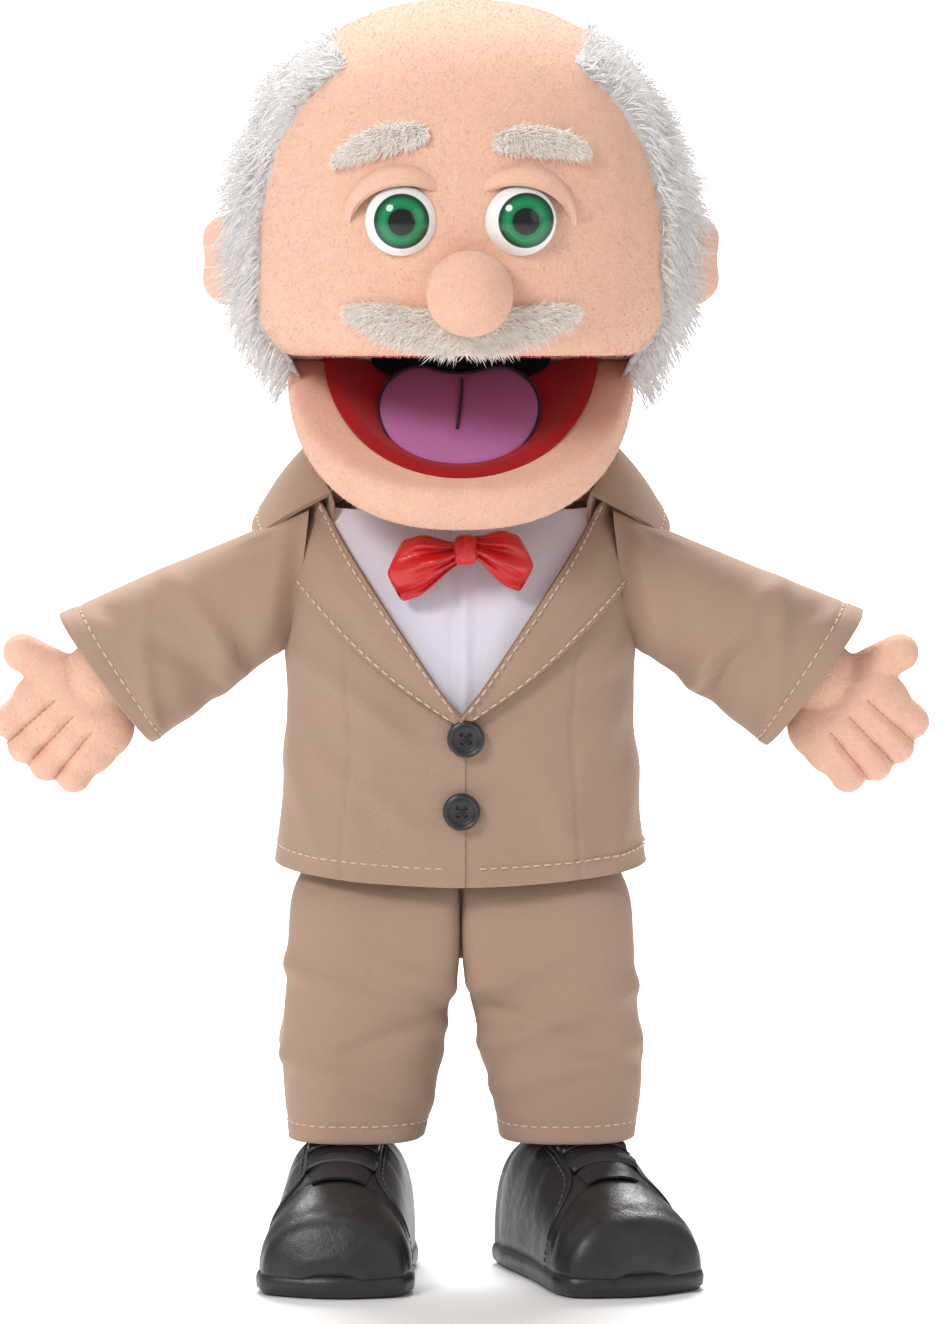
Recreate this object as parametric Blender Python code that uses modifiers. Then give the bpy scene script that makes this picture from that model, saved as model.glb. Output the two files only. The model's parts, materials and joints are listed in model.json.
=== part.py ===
"""Soft mouth puppet of an old gentleman in a suit, worn on one hand.

Metres, +Z up. The puppet faces -Y, its soles stand on z = 0, and +X is the viewer's right.
Each moving body has an empty on its joint's axis, and its pieces are parented to that empty.
"""

from math import cos, copysign, pi, radians, sin, sqrt, tan

import bmesh
import bpy
from mathutils import Matrix, Vector

# Driving dimensions, in metres and degrees
GAP = 0.0003
# Sizes below are measured from the middle of the head; this puts the origin under the whole box
MIDDLE = Vector((0, 0.0058, 0))
SIDES = {"left": -1, "right": 1}

HEAD_CENTRE = Vector((0, 0, 0.290))
HEAD_RADII = (0.060, 0.060, 0.0655)
HEAD_POWER = 2.3
HEAD_SEGMENTS, HEAD_RINGS = 24, 12
SKIN_THICKNESS = 0.0018
NAPE_HEIGHT = 0.244
HAIR_DEPTH = 0.006

HINGE = Vector((0, 0.002, 0.256))
UPPER_SLOPE = -7
LOWER_SLOPE = 34
PLATE_THICKNESS = 0.0012
PLATE_RADII = (0.036, 0.053)
JAW_RADII = (0.0485, 0.064, 0.017)
JAW_DROP = 0.004
LIP_SLOPE = 5

EYE_X, EYE_Y, EYE_Z, EYE_RADIUS = 0.0165, -0.053, 0.301, 0.0115
EYE_FLAT, EYE_BACK = 0.0062, 0.0058
SHANK_RADIUS, SHANK_LENGTH = 0.0025, 0.013
WASHER_RADIUS, WASHER_THICKNESS = 0.008, 0.0015
NOSE_CENTRE, NOSE_RADII = Vector((0.0025, -0.066, 0.282)), (0.012, 0.0115, 0.0117)

FINGER_CENTRE, FINGER_RADII = Vector((0, -0.008, 0.272)), (0.034, 0.034, 0.0105)

NOD_CENTRE = Vector((0, 0.022, 0.236))
NECK_RADII = (0.029, 0.017)
NECK_BASE = 0.213
NECK_WALL = 0.0016

# Jacket rings: height, centre y, half width, half depth
TORSO_RINGS = (
    (0.1120, 0.004, 0.0510, 0.0380),
    (0.1350, 0.004, 0.0485, 0.0370),
    (0.1600, 0.0045, 0.0475, 0.0365),
    (0.1800, 0.006, 0.0485, 0.0350),
    (0.1960, 0.010, 0.0470, 0.0310),
    (0.2050, 0.015, 0.0420, 0.0270),
    (0.2120, 0.021, 0.0350, 0.0230),
)
LINING_RINGS = (
    (0.1310, 0.005, 0.0420, 0.0300),
    (0.1500, 0.005, 0.0400, 0.0290),
    (0.1700, 0.009, 0.0300, 0.0235),
    (0.1950, 0.017, 0.0285, 0.0185),
    (0.2120, 0.022, 0.0285, 0.0170),
)
TORSO_POWER = 2.5
CLOTH = 0.0018
LINING_CLOTH = 0.0012
V_POINT, V_SLOPE, LAPEL_SLOPE = 0.158, 1.46, 0.68
BUTTONS = {"upper": (0.0014, 0.1534), "lower": (0.0, 0.133)}
BUTTON_RADIUS = 0.0052

SHOULDER_X, SHOULDER_Z, SHOULDER_RADIUS = 0.050, 0.192, 0.019
ARM_DROP = 27.5
ELBOW_AT, CUFF_AT, WRIST_AT = 0.029, 0.056, 0.051
ELBOW_BEND = 45
WRIST_RADIUS = 0.0108
CUFF_SPACE = (0.0120, 0.0132, 0.0185)
FINGER_DROP = 48

HIP_X, HIP_Y, HIP_Z = 0.0245, -0.009, 0.096
HIP_FORWARD, HIP_BACK = 62, 17
HEM_Z = 0.041
# Leg rings: height, centre x, half width, half depth
LEG_RINGS = (
    (0.0410, 0.0290, 0.0190, 0.0180),
    (0.0550, 0.0285, 0.0210, 0.0180),
    (0.0750, 0.0265, 0.0225, 0.0175),
    (0.0957, 0.0243, 0.0237, 0.0175),
)

SHOE_LENGTH, SHOE_WIDTH = 0.075, 0.043
SHOE_X = {"left": -0.0315, "right": 0.0315}
SHOE_TURN = {"left": -5, "right": 22}
SOLE_THICKNESS = 0.006
INSTEP = Vector((0, -0.036, 0.0325))
ANKLE_SWING = 16

COLOURS = {
    "skin_fleece": ((0.93, 0.60, 0.44), 0.95),
    "foam": ((0.86, 0.82, 0.66), 0.95),
    "fur": ((0.62, 0.62, 0.61), 1.0),
    "brow_fur": ((0.72, 0.68, 0.60), 1.0),
    "suit_cloth": ((0.38, 0.27, 0.19), 0.85),
    "shirt_cloth": ((0.62, 0.60, 0.68), 0.8),
    "bow_satin": ((0.72, 0.01, 0.01), 0.35),
    "button_plastic": ((0.02, 0.02, 0.022), 0.4),
    "mouth_felt": ((0.38, 0.01, 0.012), 0.85),
    "tongue_felt": ((0.44, 0.15, 0.36), 0.8),
    "throat_felt": ((0.005, 0.005, 0.005), 0.9),
    "eye_plastic": ((0.85, 0.85, 0.85), 0.12),
    "washer_plastic": ((0.75, 0.75, 0.72), 0.5),
    "shoe_leather": ((0.02, 0.02, 0.022), 0.45),
    "sole_rubber": ((0.015, 0.015, 0.016), 0.6),
    "lining_cloth": ((0.25, 0.24, 0.22), 0.9),
}


# Scene and object helpers
def clear_scene():
    for obj in list(bpy.data.objects):
        bpy.data.objects.remove(obj, do_unlink=True)


def make_collection(name):
    collection = bpy.data.collections.new(name)
    bpy.context.scene.collection.children.link(collection)
    return collection


def make_material(name, colour, roughness):
    material = bpy.data.materials.new(name)
    material.use_nodes = True
    shader = material.node_tree.nodes["Principled BSDF"]
    shader.inputs["Base Color"].default_value = (*colour, 1)
    shader.inputs["Roughness"].default_value = roughness
    shader.inputs["Metallic"].default_value = 0
    return material


clear_scene()
PUPPET = make_collection("soft_mouth_puppet")
CUTTERS = make_collection("cutters")
MATERIALS = {name: make_material(name, *look) for name, look in COLOURS.items()}


def make_empty(name, pivot, parent=None):
    """The point that a body turns about; its pieces and its child bodies hang from it."""
    empty = bpy.data.objects.new(name, None)
    empty.empty_display_size = 0.01
    empty["pivot"] = tuple(pivot)
    PUPPET.objects.link(empty)
    if parent:
        empty.parent = parent
        pivot = Vector(pivot) - Vector(parent["pivot"])
    empty.location = pivot
    return empty


def to_mesh(name, bm):
    mesh = bpy.data.meshes.new(name)
    bm.to_mesh(mesh)
    bm.free()
    return mesh


def piece(name, bm, look, body):
    """A named sub-part in its own material, with its origin on its body's pivot."""
    mesh = to_mesh(name, bm)
    mesh.transform(Matrix.Translation(-Vector(body["pivot"])))
    mesh.materials.append(MATERIALS[look])
    mesh.shade_smooth()
    mesh.set_sharp_from_angle(angle=radians(40))
    obj = bpy.data.objects.new(name, mesh)
    obj.parent = body
    PUPPET.objects.link(obj)
    return obj


def cutter(name, bm):
    bmesh.ops.recalc_face_normals(bm, faces=bm.faces)
    obj = bpy.data.objects.new(name, to_mesh(name, bm))
    obj.parent = bpy.data.objects["torso"]
    obj.hide_render = True
    obj.display_type = "WIRE"
    CUTTERS.objects.link(obj)
    return obj


def combine(obj, other, operation="DIFFERENCE"):
    modifier = obj.modifiers.new(f"{operation.lower()}_{other.name}", "BOOLEAN")
    modifier.operation = operation
    modifier.object = other
    modifier.solver = "EXACT"


def thicken(obj, thickness):
    modifier = obj.modifiers.new("cloth", "SOLIDIFY")
    modifier.thickness = thickness
    modifier.offset = -1


# Shape helpers
def pillow(centre, radii, power=2.0, segments=14, rings=8, turn=None):
    """A closed soft form: a sphere that turns squarer as its power grows."""
    bm = bmesh.new()
    bmesh.ops.create_uvsphere(bm, u_segments=segments, v_segments=rings, radius=1)
    for vert in bm.verts:
        reach = sum(abs(c / r) ** power for c, r in zip(vert.co, radii)) ** (-1 / power)
        vert.co = vert.co * reach
    bm.transform(Matrix.Translation(centre) @ (turn or Matrix()))
    return bm


def box(low, high):
    bm = bmesh.new()
    bmesh.ops.create_cube(bm, size=1)
    low, high = Vector(low), Vector(high)
    for vert in bm.verts:
        vert.co = Vector(lo + (c + 0.5) * (hi - lo) for c, lo, hi in zip(vert.co, low, high))
    return bm


def rod(centre, radius, length, axis, segments=24):
    bm = bmesh.new()
    bmesh.ops.create_cone(
        bm, cap_ends=True, segments=segments, radius1=radius, radius2=radius, depth=length
    )
    turn = Vector((0, 0, 1)).rotation_difference(Vector(axis)).to_matrix().to_4x4()
    bm.transform(Matrix.Translation(centre) @ turn)
    return bm


def prism(outline, low_x, high_x):
    """A solid with its outline in the YZ plane, running along X."""
    bm = bmesh.new()
    face = bm.faces.new([bm.verts.new((low_x, y, z)) for y, z in outline])
    grown = bmesh.ops.extrude_face_region(bm, geom=[face])
    moved = [v for v in grown["geom"] if isinstance(v, bmesh.types.BMVert)]
    bmesh.ops.translate(bm, vec=(high_x - low_x, 0, 0), verts=moved)
    bmesh.ops.recalc_face_normals(bm, faces=bm.faces)
    return bm


def ring(centre_x, centre_y, z, half_x, half_y, power, count=32):
    """A squarish oval, counter-clockwise from +X."""
    points = []
    for i in range(count):
        c, s = cos(2 * pi * i / count), sin(2 * pi * i / count)
        x = centre_x + half_x * copysign(abs(c) ** (2 / power), c)
        y = centre_y + half_y * copysign(abs(s) ** (2 / power), s)
        points.append(Vector((x, y, z)))
    return points


def loft(rings, capped=True):
    """Skin a row of matching rings, lowest first, with flat ends where it is capped."""
    bm = bmesh.new()
    rows = [[bm.verts.new(point) for point in points] for points in rings]
    for low, high in zip(rows, rows[1:]):
        for i in range(len(low)):
            j = (i + 1) % len(low)
            bm.faces.new((low[i], low[j], high[j], high[i]))
    if capped:
        bm.faces.new(rows[0][::-1])
        bm.faces.new(rows[-1])
    return bm


def inset(bm, distance):
    bm.normal_update()
    for vert, normal in [(v, v.normal.copy()) for v in bm.verts]:
        vert.co = vert.co - normal * distance
    return bm


def trim(bm, point, normal, fill=True):
    """Cut off what lies on the normal's side of a plane, and close the cut if asked."""
    everything = bm.verts[:] + bm.edges[:] + bm.faces[:]
    cut = bmesh.ops.bisect_plane(
        bm, geom=everything, dist=1e-7, plane_co=point, plane_no=normal, clear_outer=True
    )
    if fill:
        edges = [e for e in cut["geom_cut"] if isinstance(e, bmesh.types.BMEdge)]
        bmesh.ops.edgenet_fill(bm, edges=edges)
        bmesh.ops.recalc_face_normals(bm, faces=bm.faces)
    return bm


def turned(name, profile, place, look, body, steps=18, looped=False):
    """A solid of revolution. The profile runs down its outer side, from axis to axis."""
    mesh = bpy.data.meshes.new(name)
    edges = [(i, i + 1) for i in range(len(profile) - 1)]
    if looped:
        edges.append((len(profile) - 1, 0))
    mesh.from_pydata([(radius, 0, height) for radius, height in profile], edges, [])
    mesh.materials.append(MATERIALS[look])
    obj = bpy.data.objects.new(name, mesh)
    obj.parent = body
    obj.matrix_local = Matrix.Translation(-Vector(body["pivot"])) @ place
    PUPPET.objects.link(obj)
    screw = obj.modifiers.new("turn", "SCREW")
    screw.steps = screw.render_steps = steps
    screw.use_merge_vertices = True
    screw.merge_threshold = 0.00001
    return obj


def facing_front(centre):
    """Turns a piece's +Z axis to -Y, out of the puppet's front."""
    return Matrix.Translation(centre) @ Matrix.Rotation(radians(90), 4, "X")


# Bodies
def arm_frame(side):
    """The shoulder and the arm's directions: outward along it, and up across it."""
    sign = SIDES[side]
    drop = radians(ARM_DROP)
    shoulder = Vector((sign * SHOULDER_X, 0, SHOULDER_Z))
    along = Vector((sign * cos(drop), 0, -sin(drop)))
    across = Vector((sign * sin(drop), 0, cos(drop)))
    return shoulder, along, across


def make_bodies():
    bodies = {"torso": make_empty("torso", (0, 0, 0))}
    bodies["neck"] = make_empty("neck", (0, NOD_CENTRE.y, NECK_BASE), bodies["torso"])
    bodies["head"] = make_empty("head", NOD_CENTRE, bodies["neck"])
    bodies["jaw"] = make_empty("jaw", HINGE, bodies["head"])
    for side, sign in SIDES.items():
        shoulder, along, _ = arm_frame(side)
        upper = make_empty(f"{side}_upper_arm", shoulder, bodies["torso"])
        lower = make_empty(f"{side}_forearm", shoulder + along * ELBOW_AT, upper)
        hand = make_empty(f"{side}_hand_body", shoulder + along * WRIST_AT, lower)
        leg = make_empty(f"{side}_leg", (sign * HIP_X, HIP_Y, HIP_Z), bodies["torso"])
        foot = make_empty(f"{side}_foot", (SHOE_X[side], HIP_Y, HEM_Z - GAP), leg)
        made = {"upper_arm": upper, "forearm": lower, "hand": hand, "leg": leg, "foot": foot}
        bodies.update({f"{side}_{name}": empty for name, empty in made.items()})
    return bodies


# Torso
def torso_shell(depth):
    """The jacket's outer surface, or the same surface drawn in by a depth along its normals."""
    rings = [ring(0, y, z, hx, hy, TORSO_POWER, 28) for z, y, hx, hy in TORSO_RINGS]
    return inset(loft(rings, capped=False), depth)


def make_jacket(body, armholes):
    side_seam = Vector((0, 0.006, 0))
    v_point = Vector((0, 0, V_POINT))
    shells = []
    for side, sign in SIDES.items():
        back = torso_shell(0)
        trim(back, side_seam + Vector((0, GAP, 0)), (0, -1, 0), fill=False)
        trim(back, (sign * GAP / 2, 0, 0), (-sign, 0, 0), fill=False)
        shells.append(piece(f"jacket_back_{side}", back, "suit_cloth", body))
        front = torso_shell(0)
        trim(front, side_seam, (0, 1, 0), fill=False)
        trim(front, (sign * GAP / 2, 0, 0), (-sign, 0, 0), fill=False)
        trim(front, v_point, (-sign * V_SLOPE, 0, 1), fill=False)
        shells.append(piece(f"jacket_front_{side}", front, "suit_cloth", body))
        lapel = torso_shell(-CLOTH - GAP)
        trim(lapel, (0, 0.002, 0), (0, 1, 0), fill=False)
        trim(lapel, v_point, (-sign * V_SLOPE, 0, 1), fill=False)
        trim(lapel, v_point, (sign * LAPEL_SLOPE, 0, -1), fill=False)
        shells.append(piece(f"lapel_{side}", lapel, "suit_cloth", body))
    for shell in shells:
        thicken(shell, CLOTH)
        for armhole in armholes.values():
            combine(shell, armhole)


def make_collar(body):
    """A turned-down collar round the back of the neck."""
    reach, count = radians(112), 24
    fold, edge = [], []
    for i in range(count + 1):
        angle = -reach + 2 * reach * i / count
        rise = cos(angle / 2) ** 2
        spread = 0.008 * (angle / reach) ** 2
        x, y = sin(angle), cos(angle)
        fold.append(Vector((0.037 * x, NOD_CENTRE.y + 0.0245 * y, 0.2155 + 0.014 * rise)))
        edge.append(Vector(((0.043 + spread) * x, NOD_CENTRE.y + 0.029 * y, 0.2142)))
    bm = bmesh.new()
    rows = [[bm.verts.new(point) for point in points] for points in (edge, fold)]
    for i in range(count):
        bm.faces.new((rows[0][i + 1], rows[0][i], rows[1][i], rows[1][i + 1]))
    collar = piece("jacket_collar", bm, "suit_cloth", body)
    thicken(collar, CLOTH)


def make_shirt(body, armholes):
    """The shirt front under the open jacket, and the neckband."""
    shirt = torso_shell(CLOTH + 2 * GAP)
    trim(shirt, (0, 0.004, 0), (0, 1, 0), fill=False)
    trim(shirt, (0, 0, 0.138), (0, 0, -1), fill=False)
    for sign in SIDES.values():
        trim(shirt, (sign * 0.038, 0, 0), (sign, 0, 0), fill=False)
    shirt = piece("shirt_front", shirt, "shirt_cloth", body)
    thicken(shirt, LINING_CLOTH)
    for armhole in armholes.values():
        combine(shirt, armhole)


def make_lining(body):
    """The two halves of the glove that the forearm goes into, from the waist to the neck."""
    rings = [ring(0, y, z, hx, hy, 2.2, 24) for z, y, hx, hy in LINING_RINGS]
    for side, sign in SIDES.items():
        half = loft(rings, capped=False)
        trim(half, (sign * GAP / 2, 0, 0), (-sign, 0, 0), fill=False)
        thicken(piece(f"glove_lining_{side}", half, "lining_cloth", body), LINING_CLOTH)


def make_bow_tie(body):
    wings = {"left": (-0.0112, 0.2010), "right": (0.0140, 0.2020)}
    for side, (x, z) in wings.items():
        wing = pillow((x, -0.0295, z), (0.0088, 0.0045, 0.0085), 2.6, 14, 8)
        piece(f"bow_tie_{side}_wing", wing, "bow_satin", body)
    knot = pillow((0.0013, -0.0300, 0.2062), (0.0032, 0.0048, 0.0036), 2.4, 14, 8)
    knot = piece("bow_tie_knot", knot, "bow_satin", body)
    for side, (x, z) in wings.items():
        radii = (0.0088 + GAP, 0.0045 + GAP, 0.0085 + GAP)
        combine(knot, cutter(f"{side}_wing_space", pillow((x, -0.0295, z), radii, 2.6, 14, 8)))


def make_buttons(body):
    radius, height, rim = BUTTON_RADIUS, 0.0022, 0.0009
    profile = [
        (0, height - rim), (radius - rim, height - rim), (radius - rim, height),
        (radius - rim / 3, height), (radius, height - rim / 2), (radius, rim / 2),
        (radius - rim / 2, 0), (0, 0),
    ]
    for level, (x, z) in BUTTONS.items():
        front = TORSO_RINGS[1][1] - TORSO_RINGS[1][3] - 3 * GAP
        button = turned(
            f"jacket_button_{level}", profile, facing_front((x, front, z)), "button_plastic", body, 14
        )
        for i in range(4):
            angle = pi / 4 + i * pi / 2
            centre = (x + 0.0016 * cos(angle), front, z + 0.0016 * sin(angle))
            hole = rod(centre, 0.0006, 0.01, (0, 1, 0), 6)
            combine(button, cutter(f"{level}_button_hole_{i}", hole))


def make_waist(body):
    """The stuffed top of the trousers, inside the jacket's hem and in front of the glove."""
    rings = [ring(0, -0.014, z, 0.040, 0.0150, TORSO_POWER) for z in (HIP_Z + GAP, 0.128)]
    bm = loft(rings)
    pivot = Vector((0, HIP_Y, HIP_Z + GAP))
    slope = radians(20)
    trim(bm, pivot, (0, -sin(slope), -cos(slope)))
    piece("trouser_waist", bm, "suit_cloth", body)


def make_torso(body, armholes):
    make_lining(body)
    make_shirt(body, armholes)
    make_jacket(body, armholes)
    make_collar(body)
    make_bow_tie(body)
    make_buttons(body)
    make_waist(body)


# Neck
def make_neck(body):
    """A cloth tube that the wrist goes through. Its top follows a barrel about the nod axis."""
    base = ring(0, NOD_CENTRE.y, NECK_BASE, *NECK_RADII, 2, 28)
    reach = NECK_RADII[1] + 0.0002
    top = []
    for point in base:
        across = min(abs(point.y - NOD_CENTRE.y), NECK_RADII[1])
        top.append(Vector((point.x, point.y, NOD_CENTRE.z + sqrt(reach**2 - across**2))))
    middle = [Vector((p.x, p.y, NOD_CENTRE.z)) for p in base]
    neck = piece("neck_tube", loft([base, middle, top], capped=False), "skin_fleece", body)
    thicken(neck, NECK_WALL)


# Head
def head_form(depth, segments=HEAD_SEGMENTS, rings=HEAD_RINGS):
    """The head's outer form drawn in by a depth, or swollen where the depth is negative."""
    radii = [radius - depth for radius in HEAD_RADII]
    return pillow(HEAD_CENTRE, radii, HEAD_POWER, segments, rings)


def mouth_space(name, lift=0.0):
    """Everything under the mouth's roof and under the nape, which the head leaves free."""
    far, deep = 0.09, 0.18
    slope = tan(radians(-UPPER_SLOPE))
    outline = [
        (HINGE.y, HINGE.z + lift), (-far, HINGE.z + lift + (far + HINGE.y) * slope),
        (-far, deep), (far, deep), (far, NAPE_HEIGHT), (HINGE.y, NAPE_HEIGHT),
    ]
    return cutter(name, prism(outline, -far, far))


def make_skull(body):
    """The fleece skin, and the two slabs of foam inside it with the pocket for the fingers between."""
    neck_space = cutter(
        "neck_space", rod(NOD_CENTRE, NECK_RADII[1] + 0.0009, 0.068, (1, 0, 0), 32)
    )
    skin = piece("head_skin", head_form(0), "skin_fleece", body)
    thicken(skin, SKIN_THICKNESS)
    combine(skin, mouth_space("mouth_below_skin"))
    combine(skin, neck_space)
    finger_space = cutter("finger_space", pillow(FINGER_CENTRE, FINGER_RADII, 3.5, 16, 8))
    palm_space = cutter("palm_space", box((-0.025, 0.0065, 0.240), (0.025, 0.034, 0.280)))
    mouth_below_foam = mouth_space("mouth_below_foam", PLATE_THICKNESS + 2 * GAP)
    slabs = {}
    for level, sign in {"lower": -1, "upper": 1}.items():
        slab = head_form(SKIN_THICKNESS + GAP)
        trim(slab, FINGER_CENTRE + Vector((0, 0, sign * GAP / 2)), (0, 0, -sign))
        slabs[level] = piece(f"head_foam_{level}", slab, "foam", body)
        for space in (mouth_below_foam, neck_space, finger_space, palm_space):
            combine(slabs[level], space)
    for side, sign in SIDES.items():
        centre = Vector((sign * EYE_X, EYE_Y, EYE_Z))
        shank_hole = rod(centre, SHANK_RADIUS + 0.0005, 0.030, (0, 1, 0), 16)
        shank_hole = cutter(f"{side}_shank_hole", shank_hole)
        washer_space = rod(centre + Vector((0, 0.0015, 0)), WASHER_RADIUS + 0.001, 0.009, (0, 1, 0))
        seat_radius = sqrt(EYE_RADIUS**2 - EYE_FLAT**2) + 0.0004
        seat = rod(centre - Vector((0, EYE_BACK - GAP + 0.01, 0)), seat_radius, 0.02, (0, 1, 0))
        combine(skin, cutter(f"{side}_eye_seat", seat))
        combine(skin, shank_hole)
        combine(slabs["upper"], shank_hole)
        combine(slabs["upper"], cutter(f"{side}_washer_space", washer_space))


def make_upper_plate(body):
    plate = head_form(SKIN_THICKNESS + GAP)
    normal = Matrix.Rotation(radians(UPPER_SLOPE), 3, "X") @ Vector((0, 0, 1))
    trim(plate, HINGE + normal * GAP, -normal)
    trim(plate, HINGE + normal * (GAP + PLATE_THICKNESS), normal)
    trim(plate, HINGE + Vector((0, -0.001, 0)), (0, 1, 0))
    piece("upper_mouth_plate", plate, "mouth_felt", body)


def make_eyes(body, face):
    radius, flat = EYE_RADIUS, EYE_FLAT
    for side, sign in SIDES.items():
        centre = Vector((sign * EYE_X, EYE_Y, EYE_Z))
        rim = sqrt(radius**2 - flat**2)
        dome = [(0, radius)]
        dome += [(radius * sin(a), radius * cos(a)) for a in (radians(i * 11) for i in range(1, 5))]
        back = [(rim, flat), (rim - 0.0005, EYE_BACK)]
        stem = [(SHANK_RADIUS, EYE_BACK), (SHANK_RADIUS, flat - SHANK_LENGTH)]
        profile = dome + back + stem + [(0, flat - SHANK_LENGTH)]
        place = facing_front(centre)
        turned(f"{side}_eye", profile, place, "eye_plastic", body, 16)
        low, high = -0.0038, -0.0038 + WASHER_THICKNESS
        hole = SHANK_RADIUS + 0.0003
        washer = [(hole, high), (WASHER_RADIUS, high), (WASHER_RADIUS, low), (hole, low)]
        turned(f"{side}_eye_washer", washer, place, "washer_plastic", body, looped=True)
        lid = pillow(centre, (radius + 0.0022,) * 3, 2, 16, 10)
        slope = radians(12) * sign
        trim(lid, centre + Vector((0, 0, 0.0042)), (sin(slope), 0, -cos(slope)))
        lid = piece(f"{side}_eyelid", lid, "skin_fleece", body)
        combine(lid, cutter(f"{side}_eyeball", pillow(centre, (radius + 2 * GAP,) * 3, 2, 18, 12)))
        combine(lid, face)


def make_features(body, face):
    """Nose, ears, eyebrows and moustache, each fitted to the head's surface."""
    nose = piece("nose", pillow(NOSE_CENTRE, NOSE_RADII, 2.1), "skin_fleece", body)
    combine(nose, face)
    grown = [radius + GAP for radius in NOSE_RADII]
    nose_space = cutter("nose_space", pillow(NOSE_CENTRE, grown, 2.1))
    moustache = pillow((0, 0, 0), (0.033, 0.0085, 0.0068), 2.6, 20, 8)
    for vert in moustache.verts:
        bend = (vert.co.x / 0.033) ** 2
        vert.co += Vector((0.0005, -0.0575 + 0.013 * bend, 0.2680 + 0.006 * bend))
    moustache = piece("moustache", moustache, "brow_fur", body)
    combine(moustache, face)
    combine(moustache, nose_space)
    for side, sign in SIDES.items():
        ear = pillow((sign * 0.0630, 0.006, 0.2815), (0.0095, 0.0060, 0.0115), 2.2)
        combine(piece(f"{side}_ear", ear, "skin_fleece", body), face)
        turn = Matrix.Rotation(radians(18 * sign), 4, "Y")
        brow = pillow((sign * 0.0225, -0.0530, 0.3220), (0.0135, 0.0070, 0.0042), 2.5, turn=turn)
        combine(piece(f"{side}_eyebrow", brow, "brow_fur", body), face)


def make_hair(body, face):
    """The fringe of fur round the sides and the back, open over the bald crown."""
    hair = piece("hair_fringe", head_form(-HAIR_DEPTH), "fur", body)
    combine(hair, face)
    front = prism([(-0.09, 0.19), (-0.026, 0.19), (-0.030, 0.38), (-0.09, 0.38)], -0.09, 0.09)
    combine(hair, cutter("hairline", front))
    crown = pillow((0, -0.015, 0.364), (0.043, 0.066, 0.032), 2.6)
    combine(hair, cutter("bald_crown", crown))
    combine(hair, cutter("below_hair", box((-0.09, -0.09, 0.19), (0.09, 0.09, 0.2515))))
    for side, sign in SIDES.items():
        space = pillow((sign * 0.0630, 0.006, 0.2815), (0.0099, 0.0064, 0.0119), 2.2)
        combine(hair, cutter(f"{side}_ear_space", space))


def make_head(body):
    face = cutter("face_surface", head_form(-GAP))
    make_skull(body)
    make_upper_plate(body)
    make_eyes(body, face)
    make_features(body, face)
    make_hair(body, face)


# Jaw
def in_jaw(bm):
    """Moves a form from the jaw's own frame, with the palate at z = 0, to its open place."""
    bm.transform(Matrix.Translation(HINGE) @ Matrix.Rotation(radians(LOWER_SLOPE), 4, "X"))
    return bm


def half_oval(half_width, length, start, low, high):
    """A flat half oval in the jaw's frame, which begins a little forward of the hinge."""
    bm = loft([ring(0, 0, z, half_width, length, 2) for z in (low, high)])
    return trim(bm, (0, -start, 0), (0, 1, 0))


def make_jaw(body):
    lip = radians(LIP_SLOPE)
    jaw = pillow((0, 0, -JAW_DROP), JAW_RADII, HEAD_POWER, 24, 12)
    trim(jaw, (0, 0, -0.0004), (0, sin(lip), cos(lip)))
    in_jaw(jaw)
    trim(jaw, HINGE + Vector((0, -0.0008, 0)), (0, 1, 0))
    jaw = piece("lower_jaw", jaw, "skin_fleece", body)
    width, length = PLATE_RADII
    palate = half_oval(width + GAP, length + GAP, -0.004, -PLATE_THICKNESS - 2 * GAP, 0.02)
    combine(jaw, cutter("palate_space", in_jaw(palate)))
    thumb = pillow((0, -0.014, -0.0100), (0.0120, 0.0300, 0.0065), 4, 16, 8)
    combine(jaw, cutter("thumb_space", in_jaw(thumb)))
    plate = half_oval(width - GAP, length - GAP, 0.003, -PLATE_THICKNESS - GAP, -GAP)
    piece("lower_mouth_plate", in_jaw(plate), "mouth_felt", body)
    throat = half_oval(0.026, 0.0075, 0.0035, 0, 0.0003)
    piece("throat_patch", in_jaw(throat), "throat_felt", body)
    tongue = pillow((-0.0005, -0.0285, 0), (0.0215, 0.0205, 0.0019), 2.2, 20, 8)
    trim(tongue, (0, 0, 0), (0, 0, -1))
    piece("tongue", in_jaw(tongue), "tongue_felt", body)


# Arms
def arm_ring(side, distance, half_high, half_deep, count=22):
    """An oval across the arm, at a distance from the shoulder."""
    shoulder, along, across = arm_frame(side)
    centre = shoulder + along * distance
    points = []
    for i in range(count):
        angle = 2 * pi * i / count
        offset = across * (half_high * cos(angle)) + Vector((0, half_deep * sin(angle), 0))
        points.append(centre + offset)
    return points


def tidy(bm):
    bmesh.ops.recalc_face_normals(bm, faces=bm.faces)
    return bm


def elbow_cut(side, bm, outward):
    """Ends a sleeve at the elbow, with a notch in front so that the arm can bend forward."""
    shoulder, along, _ = arm_frame(side)
    facing = along if outward else -along
    pivot = shoulder + along * ELBOW_AT - facing * (GAP / 2)
    half = radians(ELBOW_BEND / 2 + 1)
    trim(bm, pivot, facing)
    trim(bm, pivot, facing * cos(half) + Vector((0, -sin(half), 0)))
    return bm


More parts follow.
